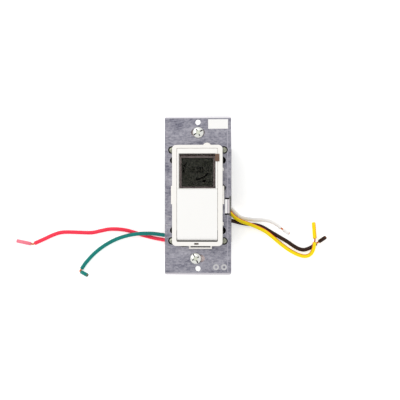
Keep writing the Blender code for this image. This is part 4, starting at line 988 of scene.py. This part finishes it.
def makeScrew(label):
    s = screwSettings
    lo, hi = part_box(f"mounting_screw_{label}")
    x, y = (lo.x + hi.x) / 2, (lo.y + hi.y) / 2
    base = hi.z - s["height"]
    profile = []
    steps = 14
    for i in range(steps + 1):
        turn = math.pi / 2 * i / steps
        profile.append((s["head"] * math.sin(turn), hi.z - s["crown"] * (1 - math.cos(turn)) - base))
    profile += [(s["head"], 0.12 * mm), (s["head"] - 0.12 * mm, 0.0), (s["shank"], 0.0),
                (s["root"], -0.4 * mm), (s["root"], lo.z + 1.0 * mm - base), (s["root"] * 0.6, lo.z - base),
                (0.0, lo.z - base)]
    screw = lathe(f"screw_{label}", profile, (x, y, base), "screwSteel", 72)
    cuts = []
    # the cross slots' cut faces take painted shade
    for turn, half in ((s["turn"][label], s["head"] * 1.2), (s["turn"][label] + 90, s["cross"])):
        bar = slab(f"drive{turn}", (-half, -s["slotHalf"], hi.z - s["slotDepth"] - base),
                   (half, s["slotHalf"], hi.z + 1 * mm - base), "driveShade")
        bar.data.transform(Matrix.Translation((x, y, base)) @ Matrix.Rotation(math.radians(turn), 4, "Z"))
        cuts.append(bar)
    # the centre recess's floor is painted reflection
    cuts.append(pin("driveCentre", (x, y, hi.z - s["centreDepth"]), (x, y, hi.z + 1 * mm), s["centre"],
                    "driveReflection", 24))
    shape(screw, cuts=cuts)
    softEdges(screw, 0.06 * mm, 2, 40)
    thread = smooth(makeThread(f"screw_{label}_thread", x, y, base - 1.6 * mm, lo.z + 1.4 * mm), 30)
    seat(screw, f"mounting_screw_{label}")
    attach(thread, bodyOfNode[f"mounting_screw_{label}"])
    washer = refined(f"screw_retainer_{label}", f"retainer_{label}", "fibrePink", 0.12 * mm, 2)


def makeRivets():
    boxes = [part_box(f"case_rivet_{i}") for i in (1, 2, 3, 4)]
    lo, hi = boxes[0]
    radius, height, length = (hi.x - lo.x) / 2 - 0.1 * mm, 1.2 * mm, hi.z - lo.z
    dome = [(radius * math.sin(math.pi / 2 * i / 8), height - 0.5 * mm * (1 - math.cos(math.pi / 2 * i / 8)))
            for i in range(9)]
    hollow = [(0.0, height - 0.35 * mm), (0.55 * mm, height - 0.3 * mm), (0.8 * mm, height)]
    profile = hollow + [p for p in dome if p[0] > 0.85 * mm]
    profile += [(radius, 0.08 * mm), (radius - 0.08 * mm, 0.0), (1.0 * mm, 0.0),
                (1.0 * mm, height - length + 0.1 * mm), (0.9 * mm, height - length), (0.0, height - length)]
    pattern = smooth(lathe("rivetPattern", profile, (0, 0, 0), "rivetMetal", 32))
    places = [((a.x + b.x) / 2, (a.y + b.y) / 2, b.z - height) for a, b in boxes]
    rivets = grow("case_rivets", places, [], studTree,
                  {"Pattern": pattern, "Turn": math.tau, "Seed": 5, "Material": finishes["rivetMetal"]})
    bpy.data.objects.remove(pattern)
    smooth(rivets)
    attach(rivets, "root")
    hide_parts(*[f"case_rivet_{i}" for i in (1, 2, 3, 4)])


for end in ("top", "bottom"):
    makeScrew(end)
makeRivets()
print("screws and rivets made")


# housing, cover, frame, door and pad: the frame's own shapes with moulded edges

bezelLip = slab("bezelLip", (-13.2 * mm, 4.13 * mm, 39.0 * mm), (13.2 * mm, 4.6 * mm, 39.75 * mm), "bezelWhite")
mouldings = {
    "back_housing": ("housing_shell", "housingBlack", 0.35, "black_plastic"),
    "front_cover": ("cover_plate", "coverBlackShade", 0.2, "black_plastic"),
    "pad_carrier": ("push_pad", "bezelWhite", 0.12, "white_plastic"),
    "display_bezel": ("bezel_plate", "bezelWhite", 0.15, "white_plastic"),
    "display_lens": ("lens_plate", "lensClear", 0.15, "clear_lens"),
    "display_mask": ("mask_sheet", "maskBrown", 0.04, "dark_mask"),
    "lens_film": ("film_sheet", "filmClear", 0.03, "clear_film"),
    "blank_label": ("paper_label", "labelPaper", 0.04, "label_paper"),
    "light_pipe": ("pipe_tip", "pipeClear", 0.1, "light_pipe"),
}
for node, (pieceName, material, width, slotName) in mouldings.items():
    joins = [bezelLip] if node == "display_bezel" else []
    refined(node, pieceName, material, width * mm, joins=joins)
print("mouldings made:", len(mouldings))

frameSettings = {
    "width": 33.1 * mm, "sideRim": 2.9 * mm, "seam": 0.35 * mm, "edge": 0.27 * mm, "nose": 2.4 * mm,
}


def makeDoor():
    lo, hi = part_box("cover_door")
    s = frameSettings
    side, nose = s["width"] / 2 - s["sideRim"] - s["seam"], s["nose"]
    hingeY, hingeZ = lo.y + nose, hi.z - nose
    door = slab("door_leaf", (-side, hingeY + 0.2 * mm, hi.z - 1.6 * mm), (side, hi.y, hi.z), "doorWhite")
    joins = [pin("nose", (-side + 0.05 * mm, hingeY, hingeZ), (side - 0.05 * mm, hingeY, hingeZ), nose,
                 "doorWhite"),
             pin("stubs", (lo.x, hingeY, hingeZ), (hi.x, hingeY, hingeZ), 0.5 * mm, "doorWhite", 24)]
    shape(door, joins=joins)
    softEdges(door, 0.22 * mm, 3, 40)
    seat(door, "cover_door")


# a thin lip inside the opening, on three sides, fills most of the seam's depth
seamSettings = {
    "sideX": (13.35, 13.75), "sideY": (-23 * mm, 31.0 * mm), "top": 13.3 * mm, "topY": (30.95 * mm, 31.3 * mm),
    "z": (38.0 * mm, 39.3 * mm),
    # painted shade: the nose gap's cut faces are dark brown, the foot gap's black
    "noseGap": ((-13.3 * mm, -30.44 * mm, 37.2 * mm), (13.3 * mm, -30.2 * mm, 41 * mm), "gapShadeBrown"),
    "footGap": ((-4.6 * mm, -34.3 * mm, 33.8 * mm), (8.5 * mm, -33.4 * mm, 36.8 * mm), "inkAndShadeBlack"),
}
(sideLow, sideHigh), (topLow, topHigh), (lipLow, lipHigh) = (seamSettings[k] for k in ("sideY", "topY", "z"))
lips = []
for side in (-1, 1):
    left, right = sorted(side * x * mm for x in seamSettings["sideX"])
    lips.append(slab(f"sideLip{side}", (left, sideLow, lipLow), (right, sideHigh, lipHigh), "frameWhite"))
lips.append(slab("topLip", (-seamSettings["top"], topLow, lipLow), (seamSettings["top"], topHigh, lipHigh),
                 "frameWhite"))
gaps = [slab(gap, *seamSettings[gap]) for gap in ("noseGap", "footGap")]
frameRing = refined("front_frame", "frame_ring", "frameWhite", frameSettings["edge"], 3, lips, gaps)
makeDoor()
print("frame and door made")


# keys

def makeKey(label):
    lo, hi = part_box(f"button_{label}")
    x, y, radius, height = (lo.x + hi.x) / 2, (lo.y + hi.y) / 2, (hi.x - lo.x) / 2, hi.z - lo.z
    edge, dish = 0.3 * mm, 0.12 * mm
    profile = [(radius * 0.7 * i / 6, height - dish * (1 - (i / 6) ** 2)) for i in range(7)]
    profile += [(radius - edge + edge * math.sin(math.pi / 2 * i / 5),
                 height - edge + edge * math.cos(math.pi / 2 * i / 5)) for i in range(6)]
    profile += [(radius, 0.15 * mm), (radius - 0.15 * mm, 0.0), (0.0, 0.0)]
    key = smooth(lathe(f"key_{label}", profile, (x, y, lo.z), "keyRubber", 40))
    seat(key, f"button_{label}")


for label in ("up", "down", "left", "right", "ok", "menu"):
    makeKey(label)
print("keys made")


# display marks on the glass

displaySettings = {
    "centre": (-0.9 * mm, 17.3 * mm), "halfWidth": 8.5 * mm, "halfHeight": 6.5 * mm, "steps": 72,
    "dash": (0.85 * mm, 0.95 * mm, 0.02 * mm), "faintDash": (0.6 * mm, 0.4 * mm, 0.015 * mm),
    "darkArcs": ((29, 40), (54, 67)), "digitHeight": 3.6 * mm, "digitWidth": 1.9 * mm, "bar": 0.5 * mm,
    "digits": "12:30", "digitStart": -6.2 * mm, "digitStep": 2.35 * mm, "digitLow": 15.1 * mm,
    "colon": (0.3, 0.62), "colonStep": 1.0 * mm, "dot": (4.5 * mm, 9.4 * mm), "dotRadius": 1.0 * mm,
    "ticks": ((-8.6, 24.0, -7.6, 24.8), (-1.0, 22.4, 0.0, 23.4), (4.9, 24.0, 6.3, 25.0), (1.1, 8.9, 2.1, 9.7)),
}
segmentsOf = {"0": "abcdef", "1": "bc", "2": "abged", "3": "abgcd"}


def digitBars(x, y, digit):
    w, h, b = displaySettings["digitWidth"], displaySettings["digitHeight"], displaySettings["bar"]
    places = {"a": (x, y + h - b, x + w, y + h), "g": (x, y + h / 2 - b / 2, x + w, y + h / 2 + b / 2),
              "d": (x, y, x + w, y + b), "f": (x, y + h / 2, x + b, y + h),
              "b": (x + w - b, y + h / 2, x + w, y + h),
              "e": (x, y, x + b, y + h / 2), "c": (x + w - b, y, x + w, y + h / 2)}
    return [places[k] for k in segmentsOf[digit]]


def addBars(name, bars, low, material):
    form = bmesh.new()
    for left, down, right, up in bars:
        made = bmesh.ops.create_cube(form, size=1.0)["verts"]
        bmesh.ops.scale(form, vec=(right - left, up - down, 0.02 * mm), verts=made)
        bmesh.ops.translate(form, vec=((left + right) / 2, (down + up) / 2, low + 0.01 * mm), verts=made)
    return addPiece(name, form, material)


def makeDisplay():
    d = displaySettings
    lo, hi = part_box("lcd_glass")
    glass = refined("lcd_glass", "lcd_panel", "lcdDark", 0.08 * mm, 2)
    top = hi.z + 0.02 * mm
    centre = (*d["centre"], top + 0.02 * mm)
    base = {"Steps": d["steps"], "Half Width": d["halfWidth"], "Half Height": d["halfHeight"]}
    made = [grow("dial_faint", [(0, 0, 0)], [], dialTree,
                 {**base, "First": 0, "Last": d["steps"], "Dash": d["faintDash"],
                  "Material": finishes["lcdFaint"]},
                 centre)]
    for number, (first, last) in enumerate(d["darkArcs"]):
        made.append(grow(f"dial_dark_{number}", [(0, 0, 0)], [], dialTree,
                         {**base, "First": first, "Last": last, "Dash": d["dash"],
                          "Material": finishes["inkAndShadeBlack"]}, (centre[0], centre[1], centre[2] + 0.03 * mm)))
    bars, x = [], d["digitStart"]
    for sign in d["digits"]:
        if sign == ":":
            for share in d["colon"]:
                y = d["digitLow"] + d["digitHeight"] * share
                bars.append((x + 0.1 * mm, y, x + 0.5 * mm, y + 0.4 * mm))
            x += d["colonStep"]
        else:
            bars += digitBars(x, d["digitLow"], sign)
            x += d["digitStep"]
    made.append(addBars("time_digits", bars, top, "inkAndShadeBlack"))
    made.append(addBars("status_marks", [[v * mm for v in tick] for tick in d["ticks"]], top, "inkAndShadeBlack"))
    made.append(pin("status_dot", (*d["dot"], top), (*d["dot"], top + 0.02 * mm), d["dotRadius"], "inkAndShadeBlack", 32))
    for piece in made:
        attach(piece, bodyOfNode["lcd_glass"])


makeDisplay()
print("display made")


# the CAD's own pieces inside the housing

for side in ("left", "right"):
    spring = refined(f"pad_spring_{side}", f"return_spring_{side}", "springSteel", 0.05 * mm, 2)
    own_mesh(spring)
innerFinishes = {
    "keypad_mat": "keyRubber", "lcd_tray": "greyPlastic", "spacer_frame": "greyPlastic",
    "lead_clamp_left": "greyPlastic", "lead_clamp_right": "greyPlastic", "logic_board": "boardGreen",
    "power_board": "boardGreen", "controller_chip": "componentBlack", "board_header": "componentBlack",
    "backup_cell": "springSteel", "clock_crystal": "springSteel", "pad_switch": "springSteel",
    "relay": "relayBlue",
    "varistor": "relayBlue", "transformer": "tapeYellow", "smoothing_capacitor": "sleeveBlack",
    "fuse": "fuseGlass", "insulating_sheet": "fishPaper", "elastomer_top": "contactRubber",
    "elastomer_bottom": "contactRubber",
}
for node, material in innerFinishes.items():
    data = frame["nodes"][node].data
    data.materials.clear()
    data.materials.append(finishes[material])
bare = [n for n, o in frame["nodes"].items() if not o.hide_render and n not in innerFinishes]
print("inner pieces dressed:", len(innerFinishes), "left bare:", bare)
